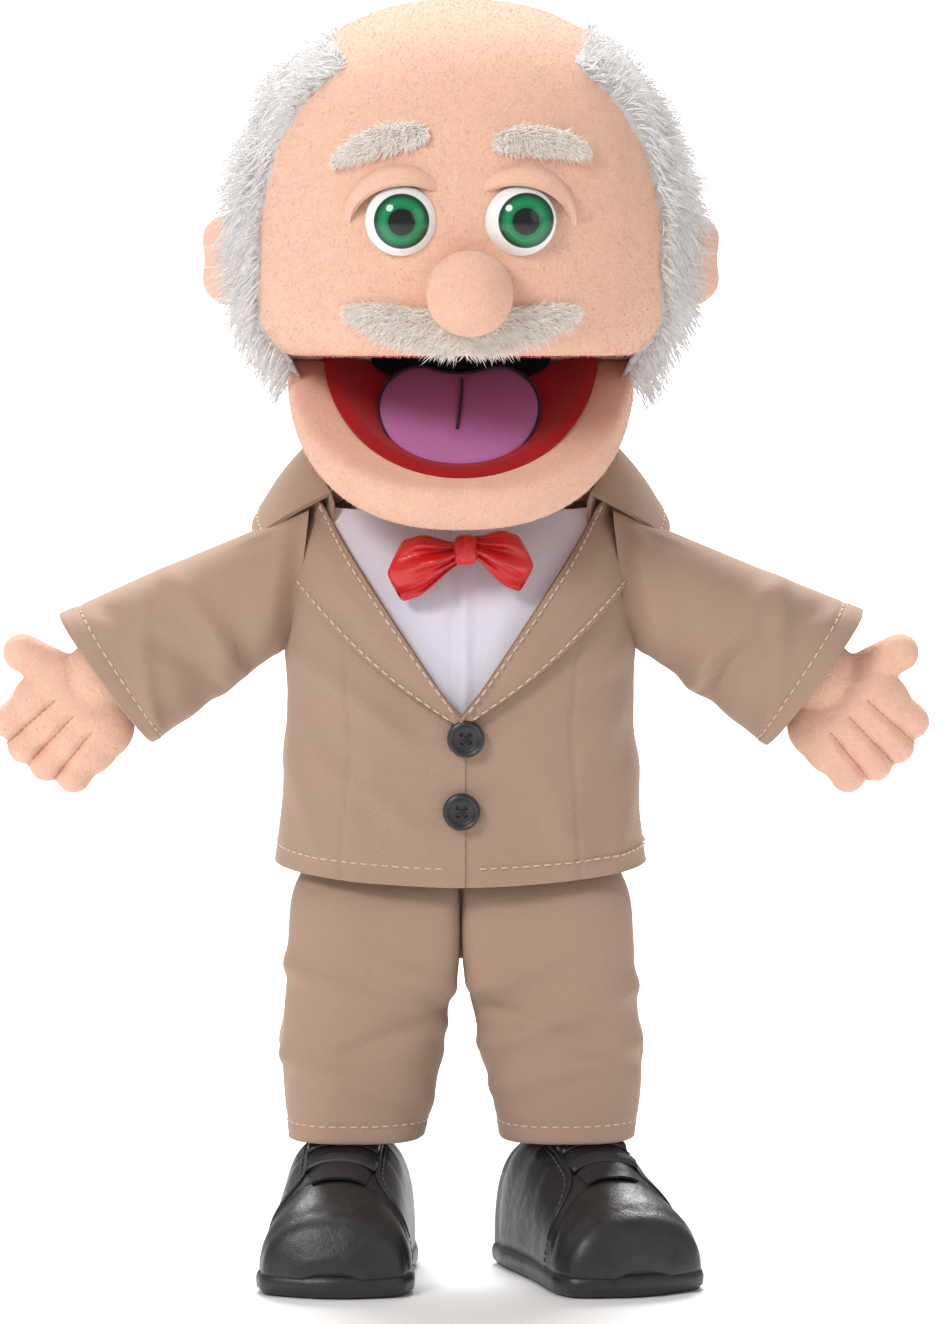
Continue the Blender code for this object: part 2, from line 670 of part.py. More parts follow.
def make_upper_sleeve(side, body):
    """The top of the sleeve: a ball in the armhole, and a short tube out to the elbow."""
    shoulder, along, _ = arm_frame(side)
    sign = SIDES[side]
    stations = ((0.004, 0.0165, 0.0150), (0.018, 0.0185, 0.0155), (0.034, 0.0208, 0.0162))
    tube = tidy(loft([arm_ring(side, *station) for station in stations]))
    elbow_cut(side, tube, True)
    underarm = radians(66)
    trim(tube, shoulder, (-sign * sin(underarm), 0, -cos(underarm)))
    sleeve = piece(f"{side}_upper_sleeve", tube, "suit_cloth", body)
    ball = tidy(pillow(shoulder, (SHOULDER_RADIUS,) * 3, 2, 18, 10))
    combine(sleeve, cutter(f"{side}_shoulder_ball", ball), "UNION")


def make_lower_sleeve(side, body):
    shoulder, along, _ = arm_frame(side)
    stations = ((0.024, 0.0196, 0.0160), (0.042, 0.0218, 0.0168), (CUFF_AT, 0.0230, 0.0170))
    tube = elbow_cut(side, tidy(loft([arm_ring(side, *station) for station in stations])), False)
    sleeve = piece(f"{side}_lower_sleeve", tube, "suit_cloth", body)
    turn = Matrix.Rotation(radians(ARM_DROP * SIDES[side]), 4, "Y")
    wrist = pillow(shoulder + along * WRIST_AT, CUFF_SPACE, 2, 16, 8, turn)
    combine(sleeve, cutter(f"{side}_wrist_space", wrist))


def limb(start, end, radius, flat):
    """A capsule-like finger between two points, flattened front to back."""
    middle, run = (start + end) / 2, end - start
    turn = Vector((0, 0, 1)).rotation_difference(run.normalized()).to_matrix().to_4x4()
    form = pillow((0, 0, 0), (radius, radius, run.length / 2 + radius), 2.6, 10, 7)
    form.transform(turn)
    form.transform(Matrix.Diagonal((1, flat, 1, 1)))
    form.transform(Matrix.Translation(middle))
    return form


def make_hand(side, body):
    """A flat stuffed hand with its palm to the front, its thumb up and four fingers."""
    shoulder, along, across = arm_frame(side)
    sign = SIDES[side]
    wrist = shoulder + along * WRIST_AT
    drop = radians(FINGER_DROP)
    finger = Vector((sign * cos(drop), 0, -sin(drop)))
    spread = Vector((sign * sin(drop), 0, cos(drop)))
    ball = pillow(wrist, (WRIST_RADIUS,) * 3, 2, 14, 8)
    hand = piece(f"{side}_hand", tidy(ball), "skin_fleece", body)
    palm = wrist + finger * 0.0205 + spread * 0.0015
    parts = [limb(palm - spread * 0.0080, palm + spread * 0.0080, 0.0105, 0.70)]
    for i in range(4):
        root = palm + spread * (0.0105 - 0.0070 * i)
        length = (0.0140, 0.0160, 0.0153, 0.0125)[i]
        parts.append(limb(root, root + finger * length, 0.0044, 0.95))
    thumb = palm + spread * 0.0085 - finger * 0.002
    parts.append(limb(thumb, thumb + spread * 0.0150, 0.0052, 0.95))
    for i, part in enumerate(parts):
        combine(hand, cutter(f"{side}_hand_part_{i}", tidy(part)), "UNION")


# Legs
def make_leg(side, body):
    sign = SIDES[side]
    rings = [ring(sign * x, HIP_Y, z, hx, hy, 2.6, 28) for z, x, hx, hy in LEG_RINGS]
    bm = loft(rings)
    pivot = Vector((0, HIP_Y, HIP_Z - GAP))
    for degrees in (-(HIP_FORWARD - 20), HIP_BACK):
        slope = radians(degrees)
        trim(bm, pivot, (0, sin(slope), cos(slope)))
    piece(f"{side}_trouser_leg", bm, "suit_cloth", body)


def shoe_frame(side):
    """The shoe's own frame: its ankle at the origin, its toe along -Y, its sole at z = 0."""
    place = Vector((SHOE_X[side], HIP_Y, 0))
    return Matrix.Translation(place) @ Matrix.Rotation(radians(SHOE_TURN[side]), 4, "Z")


def sole_ring(z, grow, count=32):
    """The shoe's outline: a rounded heel and a wider, rounder toe."""
    heel, toe = 0.024, SHOE_LENGTH - 0.024
    points = []
    for i in range(count):
        angle = 2 * pi * i / count
        c, s = cos(angle), sin(angle)
        y = (heel if s > 0 else toe) * copysign(abs(s) ** 0.85, s)
        width = SHOE_WIDTH / 2 * (0.80 if s > 0 else 0.80 + 0.20 * sin(pi * min(1, -y / toe)))
        x = width * copysign(abs(c) ** 0.8, c)
        points.append(Vector((x * (1 + grow), y * (1 + grow), z)))
    return points


def make_shoe(side, body):
    frame = shoe_frame(side)
    sole = loft([sole_ring(0, -0.03), sole_ring(SOLE_THICKNESS / 2, 0), sole_ring(SOLE_THICKNESS, 0)])
    sole.transform(frame)
    piece(f"{side}_shoe_sole", sole, "sole_rubber", body)

    upper = loft([sole_ring(SOLE_THICKNESS + GAP, -0.02), sole_ring(0.024, -0.04), sole_ring(0.042, -0.10)])
    slope = radians(25)
    trim(upper, INSTEP, (0, -sin(slope), cos(slope)))
    trim(upper, (0, -0.049, 0.0262), (0, -sin(2 * slope), cos(2 * slope)))
    upper.transform(frame)
    pivot = Vector((0, HIP_Y, HEM_Z - 2 * GAP))
    for degrees in (-ANKLE_SWING, ANKLE_SWING):
        swing = radians(degrees)
        trim(upper, pivot, (0, sin(swing), cos(swing)))
    upper = piece(f"{side}_shoe_upper", upper, "shoe_leather", body)

    tongue = trim(pillow((0, 0, 0), (0.0105, 0.0112, 0.0030), 3, 18, 8), (0, 0, GAP), (0, 0, -1))
    tongue.transform(frame @ Matrix.Translation(INSTEP) @ Matrix.Rotation(slope, 4, "X"))
    piece(f"{side}_shoe_tongue", tongue, "shoe_leather", body)


def make_limbs(bodies):
    for side in SIDES:
        make_upper_sleeve(side, bodies[f"{side}_upper_arm"])
        make_lower_sleeve(side, bodies[f"{side}_forearm"])
        make_hand(side, bodies[f"{side}_hand"])
        make_leg(side, bodies[f"{side}_leg"])
        make_shoe(side, bodies[f"{side}_foot"])


def main():
    bodies = make_bodies()
    armholes = {}
    for side in SIDES:
        shoulder, _, _ = arm_frame(side)
        space = pillow(shoulder, (SHOULDER_RADIUS + 0.0010,) * 3, 2, 16, 10)
        armholes[side] = cutter(f"{side}_armhole", space)
    make_torso(bodies["torso"], armholes)
    make_neck(bodies["neck"])
    make_head(bodies["head"])
    make_jaw(bodies["jaw"])
    make_limbs(bodies)
    bodies["torso"].location = MIDDLE


main()
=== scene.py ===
"""Looks of the soft mouth puppet: cloth, fleece, fur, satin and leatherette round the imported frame."""

import json
from math import cos, pi, radians, sin, sqrt, tan

import bmesh
import bpy
import numpy as np
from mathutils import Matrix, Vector
from mathutils.bvhtree import BVHTree


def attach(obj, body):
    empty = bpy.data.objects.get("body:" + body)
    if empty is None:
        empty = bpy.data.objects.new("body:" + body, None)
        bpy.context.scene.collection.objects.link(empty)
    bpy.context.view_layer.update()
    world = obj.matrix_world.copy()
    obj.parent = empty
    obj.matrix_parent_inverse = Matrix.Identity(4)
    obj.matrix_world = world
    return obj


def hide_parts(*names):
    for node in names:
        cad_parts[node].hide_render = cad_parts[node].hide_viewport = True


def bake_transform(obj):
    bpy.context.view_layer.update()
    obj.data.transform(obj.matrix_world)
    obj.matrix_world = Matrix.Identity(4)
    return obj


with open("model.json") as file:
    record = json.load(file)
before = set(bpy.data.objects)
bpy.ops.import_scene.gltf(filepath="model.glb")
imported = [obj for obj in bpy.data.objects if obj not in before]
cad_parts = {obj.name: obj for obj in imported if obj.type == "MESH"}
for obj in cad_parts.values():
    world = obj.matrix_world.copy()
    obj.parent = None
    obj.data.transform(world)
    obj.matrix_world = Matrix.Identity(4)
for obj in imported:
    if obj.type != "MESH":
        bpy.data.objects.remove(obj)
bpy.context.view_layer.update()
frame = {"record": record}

# Driving places and sizes. Lengths are in millimetres, measured from the middle of the head; angles
# are in degrees. Slopes of the mouth's two plates are up and down from level.
MM = 0.001
JOINTS = {joint["name"]: joint for joint in frame["record"]["behaviour"]["joints"]}
HINGE = Vector(JOINTS["jaw_close"]["pos_m"])
MIDDLE_Y = HINGE.y / MM - 2.0
HINGE_Z = HINGE.z / MM
SIDES = {"left": -1, "right": 1}
ARM_DROP = 27.5
ELBOW_AT, CUFF_AT, WRIST_AT = 29.0, 56.0, 51.0
FINGER_PITCH = 7.1
HEAD_CENTRE, HEAD_RADII, HEAD_POWER = np.array((0, 0, 290.0)), np.array((60, 60, 65.5)), 2.3
UPPER_SLOPE, LOWER_SLOPE = 7.0, 34.0
MOUTH_WIDE, MOUTH_LONG, MOUTH_DEEP = 38.5, 55.5, 24.0
V_POINT, V_SLOPE = 158.0, 1.46
HEM, COLLAR_SEAM = 111.5, 212.3
TORSO_POWER = 2.8
SEED = 7

# Jacket rings from the hem up: height, centre y, half width, half depth
TORSO_RINGS = np.array((
    (111.0, 4.0, 52.0, 38.5),
    (135.0, 4.0, 49.2, 37.5),
    (160.0, 4.5, 48.2, 37.0),
    (180.0, 6.0, 49.0, 35.5),
    (196.0, 9.0, 49.4, 32.5),
    (206.0, 14.0, 48.4, 29.5),
    (213.0, 20.0, 42.0, 26.0),
))


def place(points):
    """Millimetres from the middle of the head to metres in the row frame."""
    return (np.asarray(points, float) + (0, MIDDLE_Y, 0)) * MM


def smooth(values, at, column):
    """A smooth curve through a table's column, by its first column."""
    keys = values[:, 0]
    at = np.clip(at, keys[0], keys[-1])
    i = np.clip(np.searchsorted(keys, at) - 1, 0, len(keys) - 2)
    slopes = np.gradient(values[:, column], keys)
    step = keys[i + 1] - keys[i]
    t = (at - keys[i]) / step
    low, high = values[i, column], values[i + 1, column]
    h00, h10 = (1 + 2 * t) * (1 - t) ** 2, t * (1 - t) ** 2
    h01, h11 = t * t * (3 - 2 * t), t * t * (t - 1)
    return h00 * low + h10 * step * slopes[i] + h01 * high + h11 * step * slopes[i + 1]


def ease(value, low, high):
    """A soft step from 0 at low to 1 at high."""
    t = np.clip((np.asarray(value, float) - low) / (high - low), 0, 1)
    return t * t * (3 - 2 * t)


def bump(value, centre, width):
    """A soft hill of height 1 round a centre."""
    return np.exp(-(((np.asarray(value, float) - centre) / width) ** 2))


def xyz(x, y, z):
    """Points from their three coordinates, any of which may be one number for all of them."""
    return np.stack(np.broadcast_arrays(x, y, z), -1)


def pair(x, forward):
    """Places on a plane from their two coordinates."""
    return np.stack(np.broadcast_arrays(x, forward), -1)


def full_turn(count):
    """Evenly spaced angles round a ring."""
    return np.linspace(0, 2 * pi, count, endpoint=False)


def unit(vectors):
    """Vectors of length 1."""
    return vectors / np.linalg.norm(vectors, axis=-1, keepdims=True)


def level_out(points, centre):
    """Level unit directions from an upright axis through centre to each point."""
    return unit((points - centre) * (1, 1, 0))


# Meshes
def linked(name, data):
    """A new object in the scene."""
    obj = bpy.data.objects.new(name, data)
    bpy.context.scene.collection.objects.link(obj)
    return obj


def dress(obj, material):
    """Gives a piece its one material."""
    obj.data.materials.clear()
    obj.data.materials.append(material)


def edit_mesh(obj, change):
    """Runs a change on the piece's mesh through bmesh."""
    bm = bmesh.new()
    bm.from_mesh(obj.data)
    change(bm)
    bm.to_mesh(obj.data)
    bm.free()


def new_object(name, verts, faces, material):
    """A piece from points in millimetres."""
    mesh = bpy.data.meshes.new(name)
    mesh.from_pydata(place(verts), [], faces)
    mesh.validate()
    obj = linked(name, mesh)
    finish_mesh(obj, material)
    return obj


def face_outward(bm):
    bmesh.ops.recalc_face_normals(bm, faces=bm.faces)


def finish_mesh(obj, material):
    """Gives a piece its material, outward faces and smooth shading."""
    dress(obj, material)
    edit_mesh(obj, face_outward)
    obj.data.shade_smooth()


def crisp(obj, degrees):
    """Keeps edges sharper than an angle as edges."""
    obj.data.set_sharp_from_angle(angle=radians(degrees))


def points_in(obj):
    """A piece's points in millimetres from the middle of the head."""
    points = np.empty(len(obj.data.vertices) * 3)
    obj.data.vertices.foreach_get("co", points)
    return points.reshape(-1, 3) / MM - (0, MIDDLE_Y, 0)


def thicken(obj, thickness, offset=-1):
    """Makes an open skin into cloth of one thickness, in millimetres."""
    cloth = obj.modifiers.new("cloth", "SOLIDIFY")
    cloth.thickness, cloth.offset = thickness * MM, offset
    bake(obj)
    obj.data.shade_smooth()


def grid_faces(rows, columns, wrapped):
    """Four-sided faces over a grid of points, closed round its columns if it is wrapped."""
    faces = []
    for i in range(rows - 1):
        for j in range(columns if wrapped else columns - 1):
            k = (j + 1) % columns
            faces.append((i * columns + j, i * columns + k, (i + 1) * columns + k, (i + 1) * columns + j))
    return faces


def tube(name, rings, material):
    """A closed skin over rings of points, with a fan at each end."""
    rings = np.asarray(rings, float)
    rows, columns = rings.shape[:2]
    verts = rings.reshape(-1, 3)
    faces = grid_faces(rows, columns, True)
    ends = np.array((rings[0].mean(0), rings[-1].mean(0)))
    first, last = len(verts), len(verts) + 1
    for j in range(columns):
        k = (j + 1) % columns
        faces.append((first, k, j))
        faces.append((last, (rows - 1) * columns + j, (rows - 1) * columns + k))
    return new_object(name, np.vstack((verts, ends)), faces, material)


def sheet_mesh(name, points, thickness, material):
    """An open panel given as a grid of points, thickened inward like cloth."""
    points = np.asarray(points, float)
    rows, columns = points.shape[:2]
    obj = new_object(name, points.reshape(-1, 3), grid_faces(rows, columns, False), material)
    middle = obj.data.polygons[len(obj.data.polygons) // 2]
    if (middle.center - Vector(place((0, 8, 160)))).dot(middle.normal) < 0:
        obj.data.flip_normals()
    thicken(obj, thickness)
    crisp(obj, 55)
    return obj


def bake(obj):
    """Replaces the mesh by what its modifiers make of it."""
    graph = bpy.context.evaluated_depsgraph_get()
    mesh = bpy.data.meshes.new_from_object(obj.evaluated_get(graph))
    obj.modifiers.clear()
    obj.data = mesh


def grid_normals(points):
    """Unit normals at the points of a grid."""
    normals = np.cross(np.gradient(points, axis=1), np.gradient(points, axis=0))
    return normals / np.maximum(np.linalg.norm(normals, axis=2, keepdims=True), 1e-9)


def superellipse(direction, radii, power):
    """The point of a squarish ball's surface in a direction from its middle."""
    direction = unit(direction)
    reach = (np.abs(direction / radii) ** power).sum(-1, keepdims=True) ** (-1 / power)
    return direction * reach


def ball_points(rows, columns):
    """Unit directions of a globe, as rings from pole to pole along z."""
    polar = np.linspace(0.02, pi - 0.02, rows)[:, None]
    turn = full_turn(columns)[None]
    return xyz(np.sin(polar) * np.cos(turn), np.sin(polar) * np.sin(turn), np.cos(polar))


def blob(name, centre, radii, power, material, rows=28, columns=40, shape=None):
    """A soft closed form round a centre, then shaped by a function of its points."""
    points = superellipse(ball_points(rows, columns), np.array(radii, float), power)
    points = points + np.array(centre, float)
    if shape:
        points = shape(points)
    return tube(name, points, material)


def joined(name, parts, material):
    """Several piece objects merged into one mesh."""
    bm = bmesh.new()
    for part in parts:
        bm.from_mesh(part.data)
        bpy.data.objects.remove(part, do_unlink=True)
    mesh = bpy.data.meshes.new(name)
    bm.to_mesh(mesh)
    bm.free()
    obj = linked(name, mesh)
    dress(obj, material)
    mesh.shade_smooth()
    return obj


def melted(obj, voxel, rounds, material):
    """Fuses overlapping forms into one skin and relaxes it, as cloth over stuffing does."""
    remesh = obj.modifiers.new("fuse", "REMESH")
    remesh.mode, remesh.voxel_size = "VOXEL", voxel * MM
    relax = obj.modifiers.new("relax", "SMOOTH")
    relax.factor, relax.iterations = 0.5, rounds
    bake(obj)
    finish_mesh(obj, material)


def cut(obj, other):
    """Cuts another object's form out of a piece, and removes that object."""
    modifier = obj.modifiers.new("cut", "BOOLEAN")
    modifier.operation, modifier.object, modifier.solver = "DIFFERENCE", other, "EXACT"
    bake(obj)
    bpy.data.objects.remove(other, do_unlink=True)


def along(path, spacing):
    """Evenly spaced points and their directions along a polyline in millimetres."""
    path = np.asarray(path, float)
    steps = np.linalg.norm(np.diff(path, axis=0), axis=1)
    run = np.concatenate(((0,), np.cumsum(steps)))
    at = np.arange(spacing / 2, run[-1], spacing)
    points = np.stack([np.interp(at, run, path[:, k]) for k in range(3)], -1)
    ahead = np.stack([np.interp(at + 0.2, run, path[:, k]) for k in range(3)], -1)
    behind = np.stack([np.interp(at - 0.2, run, path[:, k]) for k in range(3)], -1)
    return points, unit(ahead - behind)


def stitches(name, paths, material, length=2.1, pitch=3.0, radius=0.30):
    """A row of sewn stitches: one small rounded thread for each, half sunk in the cloth."""
    sides = 6
    profile = ((-0.5, 0.35), (-0.38, 1), (0.38, 1), (0.5, 0.35))
    turn = full_turn(sides)[:, None]
    verts, faces = [], []
    for path in paths:
        for centre, run in zip(*along(path, pitch)):
            side = unit(np.cross(run, (0, -1, 0.01)))
            up = np.cross(side, run)
            base = len(verts)
            for t, size in profile:
                arch = (0.25 - t * t) * radius * 1.5
                ring = side * np.cos(turn) * radius * size + up * (np.sin(turn) * radius * size + arch)
                verts.extend(centre + run * t * length + ring)
            faces += [tuple(base + n for n in face) for face in grid_faces(len(profile), sides, True)]
            faces.append(tuple(range(base + sides - 1, base - 1, -1)))
            faces.append(tuple(range(base + 3 * sides, base + 4 * sides)))
    return new_object(name, np.array(verts), faces, material)


def cord_tube(name, path, radius, material, sides=8, closed=False):
    """A thread of one thickness along a path in millimetres."""
    path = np.asarray(path, float)
    ahead, behind = np.roll(path, -1, 0), np.roll(path, 1, 0)
    if not closed:
        ahead[-1], behind[0] = path[-1], path[0]
    runs = unit(ahead - behind)
    side = unit(np.cross(runs, (0, -1.0, 0.05)))
    top = np.cross(side, runs)
    turn = full_turn(sides)[None, :, None]
    rings = path[:, None] + radius * (side[:, None] * np.cos(turn) + top[:, None] * np.sin(turn))
    if not closed:
        return tube(name, rings, material)
    count = len(path) * sides
    faces = [tuple(n % count for n in face) for face in grid_faces(len(path) + 1, sides, True)]
    return new_object(name, rings.reshape(-1, 3), faces, material)


def strands(name, roots, runs, lengths, widths, droop, material, rng, levels=4):
    """Fur: a curved, tapering three-sided strand from each root, gathered in locks."""
    count = len(roots)
    runs = unit(runs)
    side = unit(np.cross(runs, rng.normal(size=(count, 3))))
    top = np.cross(runs, side)
    bend = droop + rng.normal(scale=0.16, size=(count, 3))
    verts = np.empty((count, levels * 3 + 1, 3))
    for i in range(levels + 1):
        t = i / levels
        centre = roots + runs * (lengths * t)[:, None] + bend * (lengths * t * t)[:, None]
        if i == levels:
            verts[:, -1] = centre
            continue
        thick = widths * (1 - 0.8 * t)
        for k in range(3):
            a = 2 * pi * k / 3
            verts[:, i * 3 + k] = centre + (side * cos(a) + top * sin(a)) * thick[:, None]
    cell = [(0, 2, 1)]
    for i in range(levels - 1):
        for k in range(3):
            n = (k + 1) % 3
            cell.append((i * 3 + k, i * 3 + n, i * 3 + 3 + n))
            cell.append((i * 3 + k, i * 3 + 3 + n, i * 3 + 3 + k))
    tip, last = levels * 3, (levels - 1) * 3
    cell += [(last + k, last + (k + 1) % 3, tip) for k in range(3)]
    faces = (np.array(cell)[None] + (np.arange(count) * (levels * 3 + 1))[:, None, None]).reshape(-1, 3)
    points = place(verts.reshape(-1, 3))
    mesh = bpy.data.meshes.new(name)
    mesh.vertices.add(len(points))
    mesh.vertices.foreach_set("co", points.ravel())
    mesh.loops.add(faces.size)
    mesh.loops.foreach_set("vertex_index", faces.ravel())
    mesh.polygons.add(len(faces))
    mesh.polygons.foreach_set("loop_start", np.arange(len(faces)) * 3)
    mesh.update(calc_edges=True)
    mesh.validate()
    mesh.materials.append(material)
    mesh.shade_smooth()
    return linked(name, mesh)


def fuzz(name, obj, body, per_mm, reach, rng, keep=None):
    """The pile of a fleece: short fine strands that stand on its outer faces."""
    mesh = obj.data
    mesh.calc_loop_triangles()
    count = len(mesh.loop_triangles)
    corners = np.empty(count * 3, int)
    mesh.loop_triangles.foreach_get("vertices", corners)
    points = points_in(obj)
    a, b, c = (points[corners.reshape(-1, 3)[:, k]] for k in range(3))
    normal = np.cross(b - a, c - a)
    area = np.linalg.norm(normal, axis=1) / 2
    normal /= np.maximum(2 * area[:, None], 1e-12)
    if keep is not None:
        area = area * keep((a + b + c) / 3, normal)
    pick = rng.choice(count, int(area.sum() * per_mm), p=area / area.sum())
    u, v = rng.random((2, len(pick), 1))
    flip = u + v > 1
    u, v = np.where(flip, 1 - u, u), np.where(flip, 1 - v, v)
    roots = a[pick] + u * (b - a)[pick] + v * (c - a)[pick] - normal[pick] * 0.1
    runs = normal[pick] + rng.normal(scale=0.55, size=roots.shape)
    lengths = rng.uniform(0.6, 1.0, len(roots)) * reach
    widths = rng.uniform(0.05, 0.10, len(roots))
    droop = np.array((0, 0, -0.15))
    rider(strands(name, roots, runs, lengths, widths, droop, obj.data.materials[0], rng, 2), body)


# Materials
def srgb(red, green, blue):
    """A screen colour of 0 to 255 as a linear one."""
    shares = (red / 255, green / 255, blue / 255)
    return tuple(((c + 0.055) / 1.055) ** 2.4 if c > 0.04045 else c / 12.92 for c in shares)


class Look:
    """A Principled material with a few helpers for its nodes."""

    def __init__(self, name, roughness, sheen=0.0, sheen_roughness=0.5, coat=0.0, specular=0.5):
        self.material = bpy.data.materials.new(name)
        self.material.use_nodes = True
        self.tree = self.material.node_tree
        self.shader = self.tree.nodes["Principled BSDF"]
        self.shader.inputs["Roughness"].default_value = roughness
        self.shader.inputs["Sheen Weight"].default_value = sheen
        self.shader.inputs["Sheen Roughness"].default_value = sheen_roughness
        self.shader.inputs["Coat Weight"].default_value = coat
        self.shader.inputs["Specular IOR Level"].default_value = specular
        self.where = self.add("ShaderNodeTexCoord").outputs["Object"]

    def feed(self, socket, value):
        """Links a socket to another one, or gives it a plain value."""
        if isinstance(value, bpy.types.NodeSocket):
            self.tree.links.new(value, socket)
        else:
            socket.default_value = value

    def add(self, kind, **inputs):
        """A new node, with its inputs fed by name."""
        node = self.tree.nodes.new(kind)
        for key, value in inputs.items():
            self.feed(node.inputs[key.replace("_", " ")], value)
        return node

    def noise(self, size, detail=3.0, stretch=(1, 1, 1), roughness=0.55):
        """Noise whose grains are about size millimetres across."""
        where = self.add("ShaderNodeMapping", Vector=self.where, Scale=stretch).outputs[0]
        grains = 1 / (size * MM)
        node = self.add("ShaderNodeTexNoise", Vector=where, Scale=grains, Detail=detail, Roughness=roughness)
        return node.outputs["Fac"]

    def bands(self, size, turn, distortion):
        """Parallel threads, size millimetres apart."""
        where = self.add("ShaderNodeMapping", Vector=self.where, Rotation=turn).outputs[0]
        waves = pi / (20 * size * MM)
        node = self.add("ShaderNodeTexWave", Vector=where, Scale=waves, Distortion=distortion)
        node.wave_type, node.bands_direction = "BANDS", "X"
        return node.outputs["Fac"]

    def ramp(self, factor, stops):
        """A colour by a factor, through stops of position and colour."""
        node = self.add("ShaderNodeValToRGB", Fac=factor)
        elements = node.color_ramp.elements
        while len(elements) < len(stops):
            elements.new(0.5)
        for element, (position, colour) in zip(elements, stops):
            element.position = position
            element.color = (*colour, 1)
        return node.outputs["Color"]

    def math(self, operation, first, second):
        """Arithmetic on two sockets, or on a socket and a number."""
        node = self.add("ShaderNodeMath")
        node.operation = operation
        self.feed(node.inputs[0], first)
        self.feed(node.inputs[1], second)
        return node.outputs[0]

    def vector(self, operation, first, second=(0, 0, 0)):
        """Arithmetic on a vector socket."""
        node = self.add("ShaderNodeVectorMath")
        node.operation = operation
        self.tree.links.new(first, node.inputs[0])
        node.inputs[1].default_value = second
        return node

    def mix(self, factor, first, second):
        """From the first colour socket to the second, a plain colour, by factor."""
        node = self.add("ShaderNodeMix")
        node.data_type = "RGBA"
        sockets = {socket.identifier: socket for socket in node.inputs}
        self.feed(sockets["Factor_Float"], factor)
        self.feed(sockets["A_Color"], first)
        self.feed(sockets["B_Color"], (*second, 1))
        return next(socket for socket in node.outputs if socket.identifier == "Result_Color")

    def colour(self, socket):
        self.tree.links.new(socket, self.shader.inputs["Base Color"])

    def mottled(self, base, colour, patches, amount, dark):
        """The base colour, drawn towards a darker one in soft patches."""
        self.colour(self.mix(self.math("MULTIPLY", patches, amount), base, tuple(c * dark for c in colour)))

    def weighted(self, *parts):
        """The sum of sockets, each times its weight."""
        terms = [self.math("MULTIPLY", socket, weight) for socket, weight in parts]
        total = terms[0]
        for term in terms[1:]:
            total = self.math("ADD", total, term)
        return total

    def rough(self, factor, low, high):
        """Roughness that varies from low to high."""
        node = self.add("ShaderNodeMapRange", Value=factor)
        node.inputs["To Min"].default_value, node.inputs["To Max"].default_value = low, high
        self.tree.links.new(node.outputs[0], self.shader.inputs["Roughness"])

    def relief(self, height, distance):
        """Bump whose full height is distance millimetres, on top of any bump before it."""
        last = self.shader.inputs["Normal"].links
        node = self.add("ShaderNodeBump", Height=height, Distance=distance * MM, Strength=1.0)
        if last:
            self.tree.links.new(last[0].from_socket, node.inputs["Normal"])
        self.tree.links.new(node.outputs[0], self.shader.inputs["Normal"])


def shades(colour, spread):
    """Two stops, a little darker and a little lighter than a colour."""
    low = tuple(c * (1 - spread) for c in colour)
    high = tuple(min(1, c * (1 + spread)) for c in colour)
    return ((0.3, low), (0.7, high))


def fleece(name, colour, spread=0.10, sheen=0.35):
    """Short brushed pile: a fine mottle, and fuzz that lightens at the edges."""
    look = Look(name, 0.95, sheen=sheen, sheen_roughness=0.4, specular=0.15)
    look.shader.inputs["Sheen Tint"].default_value = (1.0, 0.90, 0.84, 1)
    pile = look.noise(0.75, 4, roughness=0.72)
    patches = look.noise(9, 2)
    base = look.ramp(pile, shades(colour, spread))
    look.mottled(base, colour, patches, 0.30, 0.80)
    look.relief(look.noise(3.2, 2), 0.35)
    look.relief(pile, 0.45)
    return look.material


def twill(name, colour, turn=(0, radians(38), 0)):
    """Fine diagonal ribs crossed by finer threads."""
    look = Look(name, 0.80, sheen=0.12, sheen_roughness=0.45, specular=0.25)
    ribs = look.bands(0.42, turn, 1.5)
    threads = look.bands(0.36, (0, radians(-52), radians(12)), 1.5)
    slub = look.noise(0.40, 3, roughness=0.7)
    weave = look.weighted((ribs, 0.22), (threads, 0.18), (slub, 0.6))
    look.mottled(look.ramp(weave, shades(colour, 0.10)), colour, look.noise(16, 2), 0.25, 0.80)
    look.relief(look.noise(7, 2), 0.25)
    look.relief(weave, 0.10)
    return look.material


def plain_weave(name, colour, pitch=0.34, spread=0.05):
    """Threads that cross at right angles, pitch millimetres apart."""
    look = Look(name, 0.75, sheen=0.15, specular=0.3)
    warp = look.bands(pitch, (0, 0, 0), 0.8)
    weft = look.bands(pitch * 0.8, (0, radians(90), 0), 0.8)
    slub = look.noise(0.5, 3, roughness=0.7)
    weave = look.weighted((warp, 0.25), (weft, 0.25), (slub, 0.5))
    look.mottled(look.ramp(weave, shades(colour, spread)), colour, look.noise(8, 2), 0.2, 0.88)
    look.relief(look.noise(4, 2), 0.2)
    look.relief(weave, 0.06)
    return look.material


def felt(name, colour, sheen=0.15):
    """Matted fibres with no weave."""
    look = Look(name, 0.92, sheen=sheen, specular=0.15)
    fibres = look.noise(0.35, 5, stretch=(1, 0.4, 1), roughness=0.75)
    look.mottled(look.ramp(fibres, shades(colour, 0.16)), colour, look.noise(12, 2), 0.3, 0.7)
    look.relief(fibres, 0.12)
    return look.material


def fur(name, dark, light):
    """Fur fibres: each tuft a little lighter or darker than the next, with a faint painted glow in the light
    colour.
    """
    look = Look(name, 0.75, sheen=0.5, sheen_roughness=0.5, specular=0.25)
    # Painted light: the fur glows faintly in its light colour, though it is no lamp.
    look.shader.inputs["Emission Color"].default_value = (*light, 1)
    look.shader.inputs["Emission Strength"].default_value = 0.10
    tufts = look.noise(2.6, 3)
    fibres = look.noise(0.5, 3, stretch=(1, 1, 0.25))
    look.colour(look.ramp(look.weighted((tufts, 0.6), (fibres, 0.4)), ((0.32, dark), (0.62, light))))
    return look.material


